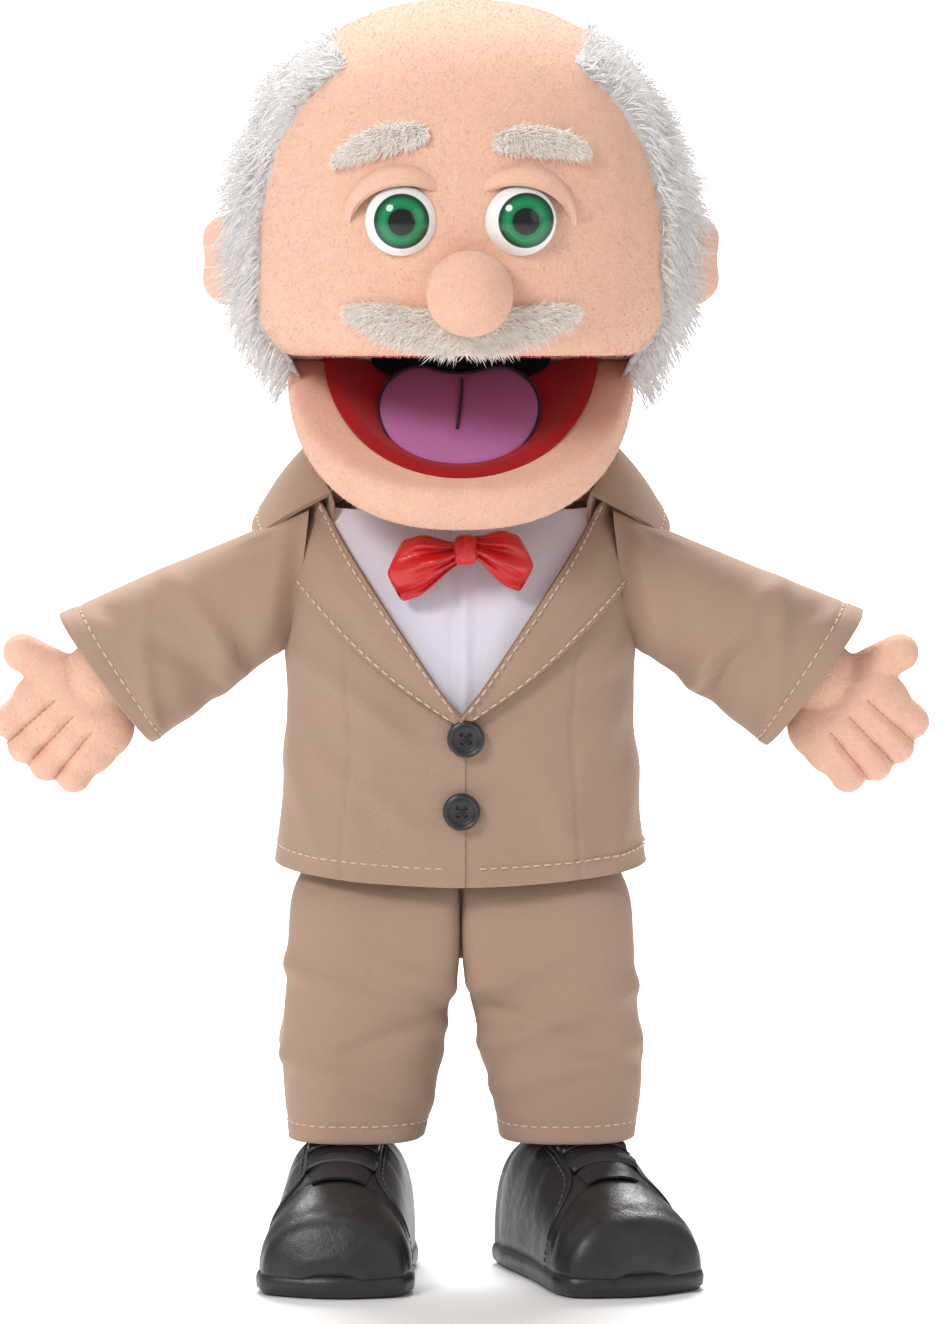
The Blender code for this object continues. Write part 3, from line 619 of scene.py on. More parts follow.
def satin(name, colour):
    """Long floating threads with a soft shine."""
    look = Look(name, 0.30, sheen=0.3, sheen_roughness=0.3, specular=0.6)
    look.shader.inputs["Anisotropic"].default_value = 0.5
    threads = look.bands(0.28, (0, radians(90), 0), 0.3)
    look.colour(look.ramp(look.noise(5, 3), shades(colour, 0.16)))
    look.rough(look.noise(1.2, 3), 0.24, 0.38)
    look.relief(look.noise(2.4, 2), 0.10)
    look.relief(threads, 0.02)
    return look.material


def leatherette(name, colour):
    """Coated cloth with a pebbled grain."""
    look = Look(name, 0.42, coat=0.12, specular=0.5)
    look.shader.inputs["Coat Roughness"].default_value = 0.35
    grain = look.add("ShaderNodeTexVoronoi", Vector=look.where, Scale=1150.0)
    grain.feature = "DISTANCE_TO_EDGE"
    creases = look.math("MINIMUM", grain.outputs["Distance"], 0.25)
    look.colour(look.ramp(look.noise(6, 3), shades(colour, 0.25)))
    look.rough(look.noise(3, 4), 0.30, 0.50)
    look.relief(look.noise(5, 2), 0.30)
    look.relief(creases, 0.10)
    return look.material


def moulded(name, colour, roughness=0.4):
    """Hard plastic or rubber with a slightly uneven skin."""
    look = Look(name, roughness, specular=0.5)
    look.colour(look.ramp(look.noise(2, 3), shades(colour, 0.12)))
    look.rough(look.noise(1.5, 4), roughness * 0.8, roughness * 1.25)
    look.relief(look.noise(0.6, 3), 0.02)
    return look.material


def foam_look(name, colour):
    """Open-celled foam."""
    look = Look(name, 0.95, specular=0.1)
    cells = look.add("ShaderNodeTexVoronoi", Vector=look.where, Scale=700.0)
    look.colour(look.ramp(cells.outputs["Distance"], ((0.1, tuple(c * 0.6 for c in colour)), (0.5, colour))))
    look.relief(cells.outputs["Distance"], 0.5)
    return look.material


def thread(name, colour):
    """Twisted sewing thread."""
    look = Look(name, 0.6, sheen=0.2, specular=0.3)
    look.colour(look.ramp(look.noise(0.3, 2), shades(colour, 0.15)))
    look.relief(look.bands(0.25, (0, radians(30), radians(45)), 0.2), 0.05)
    return look.material


def eye_look(name, iris_shift):
    """A glossy white dome with a painted pupil and a green, dark-rimmed iris, by distance from its axis."""
    look = Look(name, 0.10, coat=0.35, specular=0.4)
    look.shader.inputs["Coat Roughness"].default_value = 0.03
    offset = look.vector("ADD", look.where, (-iris_shift[0] * MM, 0, -iris_shift[1] * MM))
    flat = look.vector("MULTIPLY", offset.outputs[0], (100, 0, 100))
    distance = look.vector("LENGTH", flat.outputs[0]).outputs["Value"]
    black, rim = srgb(8, 10, 10), srgb(4, 62, 38)
    green, light, white = srgb(2, 112, 64), srgb(16, 140, 84), srgb(244, 246, 246)
    painted = look.ramp(distance, (
        (0.0, black), (0.365, black), (0.385, green), (0.52, light), (0.64, green),
        (0.70, rim), (0.755, rim), (0.775, white),
    ))
    streaks = look.noise(0.7, 2)
    look.colour(look.mix(look.math("MULTIPLY", streaks, 0.10), painted, srgb(60, 90, 80)))
    return look.material


SKIN = srgb(247, 197, 172)
TAN = srgb(170, 142, 122)
M = {}


def make_materials():
    """Every material that a piece uses, by a short name."""
    M["skin"] = fleece("skin_fleece", SKIN)
    # A darker copy of the skin fleece: painted shade, worn by the stitching along the finger grooves.
    M["skin_deep"] = fleece("skin_fleece_shaded", srgb(226, 160, 132))
    M["fur"] = fur("grey_fur", srgb(196, 193, 192), srgb(246, 243, 241))
    M["fur_backing"] = fleece("grey_fur_backing", srgb(214, 210, 208), 0.12, 0.2)
    M["brow"] = fur("cream_fur", srgb(222, 210, 200), srgb(250, 243, 236))
    M["brow_base"] = fleece("cream_fur_backing", srgb(232, 220, 210), 0.08, 0.2)
    M["suit"] = twill("tan_twill", TAN)
    M["thread"] = thread("tan_thread", srgb(212, 184, 160))
    M["shirt"] = plain_weave("shirt_cotton", srgb(222, 220, 232))
    M["lining"] = plain_weave("lining_cloth", srgb(120, 112, 100), 0.7)
    M["satin"] = satin("red_satin", srgb(196, 14, 16))
    M["felt_red"] = felt("red_felt", srgb(170, 18, 24))
    M["felt_mauve"] = felt("mauve_felt", srgb(184, 116, 170))
    M["felt_black"] = felt("black_felt", srgb(16, 12, 16), 0.05)
    M["outline"] = thread("plum_thread", srgb(44, 20, 44))
    M["button"] = moulded("button_plastic", srgb(42, 42, 45), 0.38)
    M["washer"] = moulded("washer_plastic", srgb(205, 205, 200), 0.5)
    M["leather"] = leatherette("black_leatherette", srgb(34, 34, 37))
    M["sole"] = moulded("sole_rubber", srgb(22, 22, 24), 0.6)
    M["grey_thread"] = thread("grey_thread", srgb(92, 92, 96))
    M["foam"] = foam_look("head_foam", srgb(226, 218, 190))
    M["eye_left"] = eye_look("painted_eye_left", (0.2, 0.2))
    M["eye_right"] = eye_look("painted_eye_right", (1.5, 0.4))


# Head
def head_reach(points, depth=0.0):
    """How far a point is out from the head's middle: 1 is its surface, drawn in by depth."""
    offset = np.abs(np.asarray(points, float) - HEAD_CENTRE) / (HEAD_RADII - depth)
    return (offset**HEAD_POWER).sum(-1) ** (1 / HEAD_POWER)


def on_head(direction, lift=0.0):
    """The point of the head's surface in a direction from its middle."""
    return HEAD_CENTRE + superellipse(np.asarray(direction, float), HEAD_RADII + lift, HEAD_POWER)


def face_y(x, z, lift=0.0):
    """The front surface's y at a place on the face."""
    radii = HEAD_RADII + lift
    rest = 1 - (np.abs(x) / radii[0]) ** HEAD_POWER - (np.abs(z - HEAD_CENTRE[2]) / radii[2]) ** HEAD_POWER
    return HEAD_CENTRE[1] - radii[1] * np.maximum(rest, 0) ** (1 / HEAD_POWER)


def prism(name, outline, half_width):
    """A bar across the puppet with an outline of (y, z)."""
    verts = [(x, y, z) for x in (-half_width, half_width) for y, z in outline]
    count = len(outline)
    faces = [tuple(range(count)), tuple(range(2 * count - 1, count - 1, -1))]
    faces += [(i, (i + 1) % count, (i + 1) % count + count, i + count) for i in range(count)]
    return new_object(name, np.array(verts, float), faces, M["skin"])


def tucked(points):
    """Draws the cheeks in where they turn under to the mouth."""
    tuck = 1 - 0.10 * ease(-points[..., 2], -269, -255) * ease(-points[..., 1], -24, -4)
    return points * xyz(tuck, 1.0, 1.0)


def head_shape(points):
    """The foam's soft modelling: full cheeks, a brow, and a slight dent at the temples."""
    x, y, z = points[..., 0], points[..., 1], points[..., 2]
    front = ease(-y, 5, 45)
    push = 1.6 * front * bump(np.abs(x), 30, 14) * bump(z, 272, 12)
    push -= 1.0 * front * bump(np.abs(x), 17, 12) * bump(z, 300, 9)
    push += 0.8 * front * bump(z, 322, 12) * bump(x, 0, 34)
    push -= 0.7 * bump(np.abs(x), 47, 1.1) * ease(-y, 12, 26) * ease(z, 262, 275) * ease(-z, -345, -325)
    return tucked(points + unit(points - HEAD_CENTRE) * push[..., None])


def open_face(centre, normal):
    """Outer faces of the head that the hair leaves bare."""
    outward = ((centre - HEAD_CENTRE) * normal).sum(1) > 0
    return outward & (head_reach(centre) > 0.90) & ((centre[:, 1] < -18) | (centre[:, 2] > 338))


def under_mouth(name, start_z, rise):
    """The wedge that opens the head from the mouth's roof down, and behind it from the neck."""
    far, low, back_z = 90, 180, 245
    roof = [(2, start_z), (-far, start_z + (far + 2) * rise)]
    return prism(name, roof + [(-far, low), (far, low), (far, back_z), (2, back_z)], far)


def make_head(rng):
    """The fleece skin: foam form with the mouth cut away, softened, then made a skin of one thickness."""
    skin = blob("head_fleece", HEAD_CENTRE, HEAD_RADII, HEAD_POWER, M["skin"], 96, 140, shape=head_shape)
    rise = tan(radians(UPPER_SLOPE))
    cut(skin, under_mouth("mouth", HINGE_Z, rise))
    cut(skin, blob("neck_barrel", (0, 22, 236), (33, 18.2, 18.2), 6, M["skin"], 30, 40))
    melted(skin, 1.5, 14, M["skin"])
    edit_mesh(skin, open_inside)
    thicken(skin, 1.6)
    rider(skin, "head", ["head_skin"])
    make_lower_foam(rise)
    fuzz("head_pile", skin, "head", 0.9, 0.95, rng, open_face)


def open_inside(bm):
    """Takes away the faces against the mouth's roof and round the neck, where the skin ends."""
    inner = []
    for face in bm.faces:
        centre = np.array(face.calc_center_median()) / MM - (0, MIDDLE_Y, 0)
        roof = face.normal.z < -0.8 and centre[1] < 3 and head_reach(centre) < 0.88
        inside = head_reach(centre) < 0.80 and centre[2] < 290
        if roof or inside:
            inner.append(face)
    bmesh.ops.delete(bm, geom=inner, context="FACES")


def make_lower_foam(rise):
    """The foam slab over the mouth, with the floor of the fingers' pocket cut into it."""
    foam = blob("lower_foam", HEAD_CENTRE, HEAD_RADII - 2.4, HEAD_POWER, M["foam"], 60, 90, shape=head_shape)
    cut(foam, under_mouth("mouth", HINGE_Z + 2.2, rise))
    cut(foam, prism("above", [(-90, 271.8), (90, 271.8), (90, 400), (-90, 400)], 90))
    cut(foam, prism("palm", [(7, 230), (33, 230), (33, 290), (7, 290)], 25))
    cut(foam, blob("fingers", (0, -8, 272), (34, 34, 10), 3.5, M["foam"]))
    cut(foam, blob("neck", (0, 22, 236), (40, 18, 18), 6, M["foam"]))
    dress(foam, M["foam"])
    crisp(foam, 40)
    rider(foam, "head", ["head_foam_lower"])


def make_face(rng):
    """Ears, nose, eyes and lids."""
    for side, sign in SIDES.items():
        make_ear(side, sign)
    nose = blob("nose_ball", (2.5, -65.5, 281.6), (12.1, 12.0, 11.9), 2.08, M["skin"], 40, 56)
    rider(nose, "head", ["nose"])
    fuzz("nose_pile", nose, "head", 1.0, 0.8, rng)
    for side, sign in SIDES.items():
        make_eye(side, sign)
        make_lid(side, sign)


def make_ear(side, sign):
    """A flat stuffed ear with a dished middle and a rolled rim."""
    centre = (sign * 64, 4, 282.5)

    def dish(points):
        x, y, z = np.moveaxis(points - centre, -1, 0)
        inside = bump(np.hypot(y * 1.3, z), 0, 6.0)
        points = points.copy()
        points[..., 0] -= sign * 2.2 * inside * ease(sign * x, 0, 6)
        points[..., 1] += 3.2 * ease(sign * x, 0, 9)
        return points

    ear = blob(f"{side}_ear_fleece", centre, (9.6, 6.4, 12.6), 2.3, M["skin"], 36, 44, shape=dish)
    rider(ear, "head", [f"{side}_ear"])


def eye_centre(sign):
    """The middle of an eye's ball."""
    return np.array((sign * 16.5, -53.0, 301.0))


def make_eye(side, sign):
    """The craft eye's dome, wide enough to sit in the fleece; its own frame is at its middle."""
    radius, flat = 11.5, 6.2
    turn = full_turn(56)
    rings = []
    for angle in np.linspace(0.01, np.arccos(flat / radius), 26):
        r, h = radius * sin(angle), radius * cos(angle)
        rings.append(xyz(r * np.cos(turn), -h, r * np.sin(turn)))
    edge = rings[-1]
    rings += [edge * (1.02, 1, 1.02) + (0, 0.5, 0), edge * (0.9, 1, 0.9) + (0, 1.1, 0)]
    eye = tube(f"{side}_eye_dome", np.array(rings) - (0, MIDDLE_Y, 0), M[f"eye_{side}"])
    eye.location = place(eye_centre(sign))
    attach(eye, "head")
    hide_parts(f"{side}_eye")


def make_lid(side, sign):
    """A soft fleece lid over the top of the eye, rolled under at its edge."""
    outer, tilt = 15.6, radians(8) * sign
    lean = np.linspace(0, pi, 60)
    rings = []
    for t in np.linspace(0, 1, 30):
        rise = radians(50) + t * radians(95)
        thick = outer - 1.6 * bump(t, 0.0, 0.10)
        x = thick * np.cos(lean)
        y = -thick * np.sin(lean) * cos(rise)
        z = thick * np.sin(lean) * sin(rise)
        rings.append(xyz(x * cos(tilt) + z * sin(tilt), y, z * cos(tilt) - x * sin(tilt)))
    lid = sheet_mesh(f"{side}_eyelid_fleece", np.array(rings) + eye_centre(sign), 1.4, M["skin"])
    rider(lid, "head", [f"{side}_eyelid"])


def bridge(obj, bodies, near, far, node, fill=None):
    """Bakes a piece's place into its mesh and hides the CAD node that it stands for."""
    place(near)
    place(far)
    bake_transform(obj)
    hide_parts(node)


def rider(obj, body, nodes=()):
    """Puts a piece on its body and hides the CAD nodes that it stands for."""
    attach(obj, body)
    if nodes:
        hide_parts(*nodes)


def hairline(direction):
    """True where the fringe of hair grows, for a direction from the head's middle."""
    x, y, z = on_head(direction)
    front = y > -29 + 16 * max(0, (282 - z) / 26) - 3 * bump(z, 338, 10)
    crown = (x / 43) ** 2 + ((z - 366) / 34) ** 2 < 1
    return front and not crown and z > (252 if y < 6 else 249)


def fringe_lift(directions):
    """How far the backing stands off the head: sunk where it is bald, with a soft edge between."""
    lift = np.array([[2.0 if hairline(direction) else -2.4 for direction in row] for row in directions])
    for _ in range(2):
        lift = (lift + np.roll(lift, 1, 1) + np.roll(lift, -1, 1)) / 3
        lift[1:-1] = (lift[1:-1] + lift[2:] + lift[:-2]) / 3
    return lift


def shell_faces(keep):
    """Faces of a shell over a ringed grid's kept cells: the outer skin, the inner one and the rim."""
    rows, columns = keep.shape
    right = np.roll(keep, -1, 1)
    cells = np.vstack((keep[:-1] & right[:-1] & keep[1:] & right[1:], np.zeros((1, columns), bool)))
    faces, half = [], rows * columns
    for i, j in zip(*np.nonzero(cells)):
        k = (j + 1) % columns
        ids = [i * columns + j, i * columns + k, (i + 1) * columns + k, (i + 1) * columns + j]
        faces.append(tuple(ids))
        faces.append(tuple(half + n for n in ids[::-1]))
        across = ((i - 1, j), (i, k), (i + 1, j), (i, j - 1))
        for p, q, (row, column) in zip(ids, ids[1:] + ids[:1], across):
            if row < 0 or not cells[row, column]:
                faces.append((q, p, p + half, q + half))
    return faces


def drop_loose(bm):
    """Takes away the points that no face uses."""
    loose = [vert for vert in bm.verts if not vert.link_faces]
    bmesh.ops.delete(bm, geom=loose, context="VERTS")


def make_hair(rng):
    """The fringe: a backing of short fur, and locks that fall outward and down over it."""
    directions = ball_points(64, 128)
    lift = fringe_lift(directions)
    outer = HEAD_CENTRE + superellipse(directions, HEAD_RADII, HEAD_POWER) * (1 + lift[..., None] / 61)
    inner = HEAD_CENTRE + superellipse(directions, HEAD_RADII - 1.2, HEAD_POWER)
    verts = tucked(np.vstack((outer.reshape(-1, 3), inner.reshape(-1, 3))))
    backing = new_object("hair_backing", verts, shell_faces(lift > -1.2), M["fur_backing"])
    edit_mesh(backing, drop_loose)
    rider(backing, "head", ["hair_fringe"])
    roots, runs = lock_roots(rng, 11500)
    lengths = rng.uniform(7.0, 12.0, len(roots)) * [edge_shortening(root) for root in roots]
    droop = (0, 0, -0.35) + 0.4 * np.array([wave(root + (7, 3, 5)) for root in roots])
    widths = rng.uniform(0.20, 0.36, len(roots))
    hair = strands("hair_locks", roots, runs, lengths, widths, droop, M["fur"], rng)
    rider(hair, "head")


def lock_roots(rng, count):
    """Random places on the fringe, and the way that the fur leaves the head at each."""
    roots, runs = [], []
    while len(roots) < count:
        direction = unit(rng.normal(size=3))
        if hairline(direction):
            root = on_head(direction, 0.8)
            side = np.array((np.sign(root[0]) * 0.2, 0.35, -0.85))
            lean = side * 0.6 + wave(root) + rng.normal(scale=0.20, size=3)
            roots.append(tucked(root))
            runs.append(unit(root - HEAD_CENTRE) * 0.85 + lean)
    return np.array(roots), np.array(runs)


def wave(root):
    """The way that a tuft of the fur leans, which changes slowly over the head."""
    x, y, z = root
    return 0.38 * np.array((sin(z / 5 + x / 7), cos(x / 6 + z / 8), sin(y / 5 - z / 6)))


def edge_shortening(root):
    """Locks by the hairline and on the upper edge are shorter."""
    return 0.62 + 0.38 * float(ease(root[1], -28, -8)) * float(ease(-root[2], -345, -325))


def make_brows(rng):
    """Two short-fur eyebrows and the moustache, each a furred pad."""
    for side, sign in SIDES.items():
        tilt = radians(18 if side == "left" else 8) * sign

        def line(t, sign=sign, tilt=tilt):
            x = sign * 22.0 + 13.0 * t
            z = 322.5 - (x - sign * 22.0) * np.sign(sign) * tan(abs(tilt)) - 2.0 * t * t
            return x, z

        furred(f"{side}_eyebrow", line, lambda t: 3.9 * (1 - 0.30 * t * t), 3.4, 1300, 3.4, rng, sign)

    def lip(t):
        return 0.5 + 31.5 * t, 269.5 + 6.0 * abs(t) ** 1.5

    furred("moustache", lip, lambda t: 6.2 * (1 - 0.30 * np.abs(t) ** 2), 4.6, 3600, 4.6, rng, 0)


def furred(name, line, half_height, depth, count, length, rng, sign):
    """A strip of fur along a line on the face: a pad, and strands that comb away from the middle."""
    rows, columns = 44, 20
    rings = []
    for t in np.linspace(-0.985, 0.985, rows):
        x, z = line(t)
        high = half_height(t) * sqrt(max(0.02, 1 - abs(t) ** 6))
        angle = full_turn(columns)
        pz = z + high * np.sin(angle)
        base = face_y(x, pz)
        py = base - 0.3 - (depth * 0.62) * np.maximum(np.cos(angle), -0.15) * sqrt(max(0.05, 1 - abs(t) ** 4))
        rings.append(xyz(x, py, pz))
    pad = tube(f"{name}_pad", np.array(rings), M["brow_base"])
    rider(pad, "head", [name])
    t = rng.uniform(-1, 1, count)
    across = rng.uniform(-1, 1, count)
    xs, zs = np.array([line(v) for v in t]).T
    high = np.array([half_height(v) for v in t]) * np.sqrt(1 - np.abs(t) ** 6)
    pz = zs + high * across * 0.92
    py = face_y(xs, pz) - 0.3 - depth * 0.55 * np.sqrt(np.maximum(0, 1 - across**2))
    roots = xyz(xs, py, pz)
    outward = np.where(sign == 0, np.sign(t), sign)
    runs = xyz(outward * 0.55 + 0.5 * t, -0.75, 0.50 * across - 0.12)
    runs += rng.normal(scale=0.28, size=runs.shape)
    lengths = rng.uniform(0.6, 1.0, count) * length * (1 - 0.3 * np.abs(t) ** 3)
    droop = np.array((0, 0.12, -0.20))
    widths = rng.uniform(0.18, 0.32, count)
    hairs = strands(f"{name}_fur", roots, runs, lengths, widths, droop, M["brow"], rng)
    rider(hairs, "head")


# Mouth
def jaw_frame(points, slope=LOWER_SLOPE):
    """From a mouth plate's own frame (x, forward, up) to the puppet's."""
    x, forward, up = np.moveaxis(np.asarray(points, float), -1, 0)
    c, s = cos(radians(slope)), sin(radians(slope))
    return xyz(x, 2 - forward * c - up * s, HINGE_Z - forward * s + up * c)


def hollow_rings():
    """The oval hollow over the tongue, with a flat floor that turns up into its wall."""
    angle = full_turn(120)
    rings = []
    for level in np.concatenate((np.linspace(0.999, 0.85, 12), np.linspace(0.8, 0, 10))):
        reach = (1 - level**5) ** 0.2
        x, forward = MOUTH_WIDE * reach * np.cos(angle), MOUTH_LONG * reach * np.sin(angle)
        rings.append(xyz(x, forward, 22 - MOUTH_DEEP * level))
    return jaw_frame(np.array(rings))


def outer_jaw(centre, normal):
    """Faces of the jaw that look away from the mouth."""
    return (centre[:, 1] < -6) & (((centre - (0, -26, 250)) * normal).sum(1) > 0)


def make_jaw(rng):
    """The lower jaw: a thick rolled lip round the mouth's floor."""
    def opened(points):
        return jaw_frame(points * (1, -1, 1))

    jaw = blob("jaw_fleece", (0, 0, -4), (48.5, 64.5, 17.4), 2.35, M["skin"], 72, 120, shape=opened)
    rise = tan(radians(3.2))
    top = [(70, rise * 70), (-20, -rise * 20), (-20, 60), (70, 60)]
    outline = [tuple(jaw_frame((0, f, u))[1:]) for f, u in top]
    cut(jaw, prism("above_lip", outline, 80))
    cut(jaw, prism("behind_jaw", [(1.4, 200), (1.4, 300), (90, 300), (90, 200)], 80))
    cut(jaw, tube("mouth_hollow", hollow_rings(), M["skin"]))
    melted(jaw, 1.25, 9, M["skin"])
    rider(jaw, "jaw", ["lower_jaw"])
    fuzz("jaw_pile", jaw, "jaw", 0.8, 0.95, rng, outer_jaw)


def plate_grid(half_width, length, start, rows=40, columns=48):
    """Points over a half oval, as rings from its middle out, with x and forward."""
    reach = np.linspace(0, 1, rows)[:, None]
    angle = np.linspace(0, pi, columns)
    return pair(half_width * reach * np.cos(angle), start + (length - start) * reach * np.sin(angle))


def raised(flat, up):
    """Places on a plate, lifted off it."""
    return xyz(flat[..., 0], flat[..., 1], up)


def make_mouth():
    """The red lining of the floor and roof, the throat patch and the tongue."""
    flat = plate_grid(MOUTH_WIDE - 0.2, MOUTH_LONG - 0.2, 2.0)
    reach = np.linspace(0, 0.999, len(flat))[:, None]
    bowl = np.minimum(22.5 - MOUTH_DEEP * (1 - reach**5) ** 0.2, 2.8)
    floor = plate_piece("mouth_floor_felt", jaw_frame(raised(flat, bowl)), M["felt_red"])
    rider(floor, "jaw", ["lower_mouth_plate"])
    roof = jaw_frame(raised(plate_grid(46.0, 54.5, 2.0), -0.1), -UPPER_SLOPE)
    roof = plate_piece("mouth_roof_felt", roof, M["felt_red"])
    rider(roof, "head", ["upper_mouth_plate"])
    throat = jaw_frame(raised(plate_grid(25.0, 13.0, 1.5, 16, 40), 0.25))
    patch = plate_piece("throat_felt_patch", throat, M["felt_black"], 0.35)
    rider(patch, "jaw", ["throat_patch"])
    make_tongue()


def merge_doubles(bm):
    """Joins the points that fall together at a plate's middle."""
    bmesh.ops.remove_doubles(bm, verts=bm.verts, dist=1e-6)
    face_outward(bm)


def plate_piece(name, points, material, thickness=0.8):
    """A sheet of felt or leather given as a grid, of even thickness to both sides."""
    obj = new_object(name, points.reshape(-1, 3), grid_faces(*points.shape[:2], False), material)
    edit_mesh(obj, merge_doubles)
    thicken(obj, thickness, 0)
    crisp(obj, 50)
    return obj


def tongue_outline(angle):
    """A heart: two lobes at the throat and a round tip to the front. Gives x and forward."""
    forward = 25.5 - 22.5 * np.cos(angle)
    notch = 5.5 * bump(np.sin(angle) * np.sign(np.cos(angle) + 1.0001), 0, 0.30) * (np.cos(angle) > 0)
    width = 21.0 * np.abs(np.sin(angle)) ** 0.78 * (1.06 - 0.10 * np.cos(angle + pi))
    return np.sign(np.sin(angle)) * width, forward + notch


def make_tongue():
    """Mauve felt, outlined and scored down its middle with dark thread."""
    middle, shift, seat, slope = 26.0, -0.5, 0.6, 0.055
    x, forward = tongue_outline(full_turn(96))
    top, under = [], []
    for r in np.linspace(0.02, 1, 22):
        px, pf = x * r, middle + (forward - middle) * r
        puff = (0.35 + slope * pf) * (1 - r**4) ** 0.5
        groove = 0.45 * bump(px, 0, 1.2) * ease(pf, 8, 12) * ease(-pf, -40, -34)
        top.append(jaw_frame(xyz(px + shift, pf, seat + puff - groove)))
        under.append(jaw_frame(xyz(px + shift, pf, 0.35)))
    tongue = tube("tongue_felt_heart", np.array(top + under[::-1]), M["felt_mauve"])
    rider(tongue, "jaw", ["tongue"])
    rim = jaw_frame(xyz(x + shift, forward, 0.75))
    rider(cord_tube("tongue_outline", rim, 0.48, M["outline"], closed=True), "jaw")
    run = np.linspace(11.5, 34, 24)
    line = jaw_frame(xyz(shift + 0.8 * np.sin(run / 9), run, seat + 0.30 + slope * run))
    rider(cord_tube("tongue_middle_stitch", line, 0.42, M["outline"]), "jaw")


# Torso
def torso_angle(x, half_width):
    """The angle from the front at which the squarish ring reaches x."""
    return np.arcsin(np.clip(np.abs(x) / half_width, 0, 1) ** (TORSO_POWER / 2)) * np.sign(x)


def torso_point(angle, z):
    """A point of the jacket; the angle runs from the front, positive to +X."""
    cy, hx, hy = (smooth(TORSO_RINGS, z, k) for k in (1, 2, 3))
    s, c = np.sin(angle), np.cos(angle)
    x = hx * np.sign(s) * np.abs(s) ** (2 / TORSO_POWER)
    y = cy - hy * np.sign(c) * np.abs(c) ** (2 / TORSO_POWER)
    return xyz(x, y, z)


def chest_y(x, z):
    """The jacket front's y at a place on the chest."""
    return torso_point(torso_angle(x, smooth(TORSO_RINGS, z, 2)), z)[..., 1]


def crease(x, z, start, end, width, height):
    """A fold along a line on the front, fading at its ends."""
    start, end = np.array(start, float), np.array(end, float)
    length = np.linalg.norm(end - start)
    run = unit(end - start)
    px, pz = x - start[0], z - start[1]
    at = (px * run[0] + pz * run[1]) / length
    off = px * run[1] - pz * run[0]
    return height * np.exp(-((off / width) ** 2)) * ease(at, -0.15, 0.25) * ease(-at, -1.15, -0.75)


def jacket_relief(x, z):
    """Folds, the dart seams and the pressed hem."""
    depth = np.zeros_like(x)
    folds = (
        ((-46, 176), (-12, 150), 3.4, 1.7), ((47, 178), (12, 152), 3.6, 1.7),
        ((-45, 165), (-22, 128), 4.0, -1.3), ((44, 163), (26, 126), 4.4, 1.5),
        ((-38, 146), (-8, 124), 3.8, 1.3), ((40, 134), (8, 122), 4.0, -1.2),
        ((-20, 160), (-34, 118), 4.8, 1.0), ((20, 150), (33, 116), 4.4, 1.1),
        ((-48, 150), (-38, 116), 3.2, 1.3), ((49, 148), (42, 114), 3.4, 1.5),
    )
    for start, end, width, height in folds:
        depth += crease(x, z, start, end, width, height)
    seam = 32.0 + 1.2 * np.sin(z / 14)
    depth -= 0.55 * bump(np.abs(x), seam, 0.75) * ease(-z, -184, -172)
    depth += 0.9 * ease(-z, -117, -112) * (0.6 + 0.4 * np.sin(x / 6.5))
    return depth


def front_edge(z):
    """Half the jacket's opening at a height above the buttons' V."""
    return max((z - V_POINT) / V_SLOPE, 0)


def hem_height(x):
    """The hem dips to the middle of the front."""
    return HEM + 3.0 * (np.abs(x) / 50) ** 1.5


def panel(inner_angle, outer_angle, columns):
    """A grid of jacket points between two angles, from the dipped hem up, with its outward normals."""
    t = np.linspace(0, 1, columns)
    grid = []
    for z in np.linspace(HEM, COLLAR_SEAM, 96):
        angle = inner_angle(z) + (outer_angle - inner_angle(z)) * t
        grid.append(torso_point(angle, np.full_like(t, z)))
    grid = np.array(grid)
    low = hem_height(grid[..., 0])
    z = low + (grid[..., 2] - HEM) / (COLLAR_SEAM - HEM) * (COLLAR_SEAM - low)
    points = torso_point(torso_angle_of(grid), z)
    normals = grid_normals(points)
    outward = np.sign(((points - (0, 8, 165.0)) * normals).sum(-1).mean())
    return points, normals * outward


def torso_angle_of(points):
    """The ring angle of points already on the jacket."""
    x, y, z = np.moveaxis(points, -1, 0)
    cy, hx, hy = (smooth(TORSO_RINGS, z, k) for k in (1, 2, 3))
    s = np.sign(x) * (np.abs(x) / hx).clip(0, 1) ** (TORSO_POWER / 2)
    c = -np.sign(y - cy) * (np.abs(y - cy) / hy).clip(0, 1) ** (TORSO_POWER / 2)
    return np.arctan2(s, c)


def make_jacket():
    """Two fronts, the left one lapped over the right, and the back."""
    side_angle = radians(86)
    for side, sign in SIDES.items():
        overlap, lift = (1.2, 0.5) if side == "left" else (0.9, 0.0)

        def inner(z, sign=sign, overlap=overlap):
            edge = sign * front_edge(z) if z > V_POINT else -sign * overlap
            return torso_angle(edge, float(smooth(TORSO_RINGS, z, 2)))

        points, normals = panel(inner, sign * side_angle, 72)
        depth = lift + jacket_relief(points[..., 0], points[..., 2]) * (points[..., 1] < 8)
        front = sheet_mesh(f"jacket_front_{side}_cloth", points + normals * depth[..., None], 1.5, M["suit"])
        rider(front, "torso", [f"jacket_front_{side}"])
    points = panel(lambda z: side_angle, 2 * pi - side_angle, 130)[0]
    back = sheet_mesh("jacket_back_cloth", points + back_folds(points), 1.5, M["suit"])
    rider(back, "torso", ["jacket_back_left", "jacket_back_right"])


def back_folds(points):
    """The centre back seam and soft folds down the back."""
    x, z = points[..., 0], points[..., 2]
    depth = -0.6 * bump(x, 0, 0.8)
    depth += 0.8 * bump(x, 16 + (z - 160) * 0.1, 4.5) * ease(-z, -190, -150)
    depth += 0.8 * bump(x, -20 - (z - 160) * 0.12, 5) * ease(-z, -180, -140)
    depth += 0.7 * bump(z, 172, 4) * bump(x, 0, 24)
    return xyz(0, depth * (points[..., 1] > 10), 0)


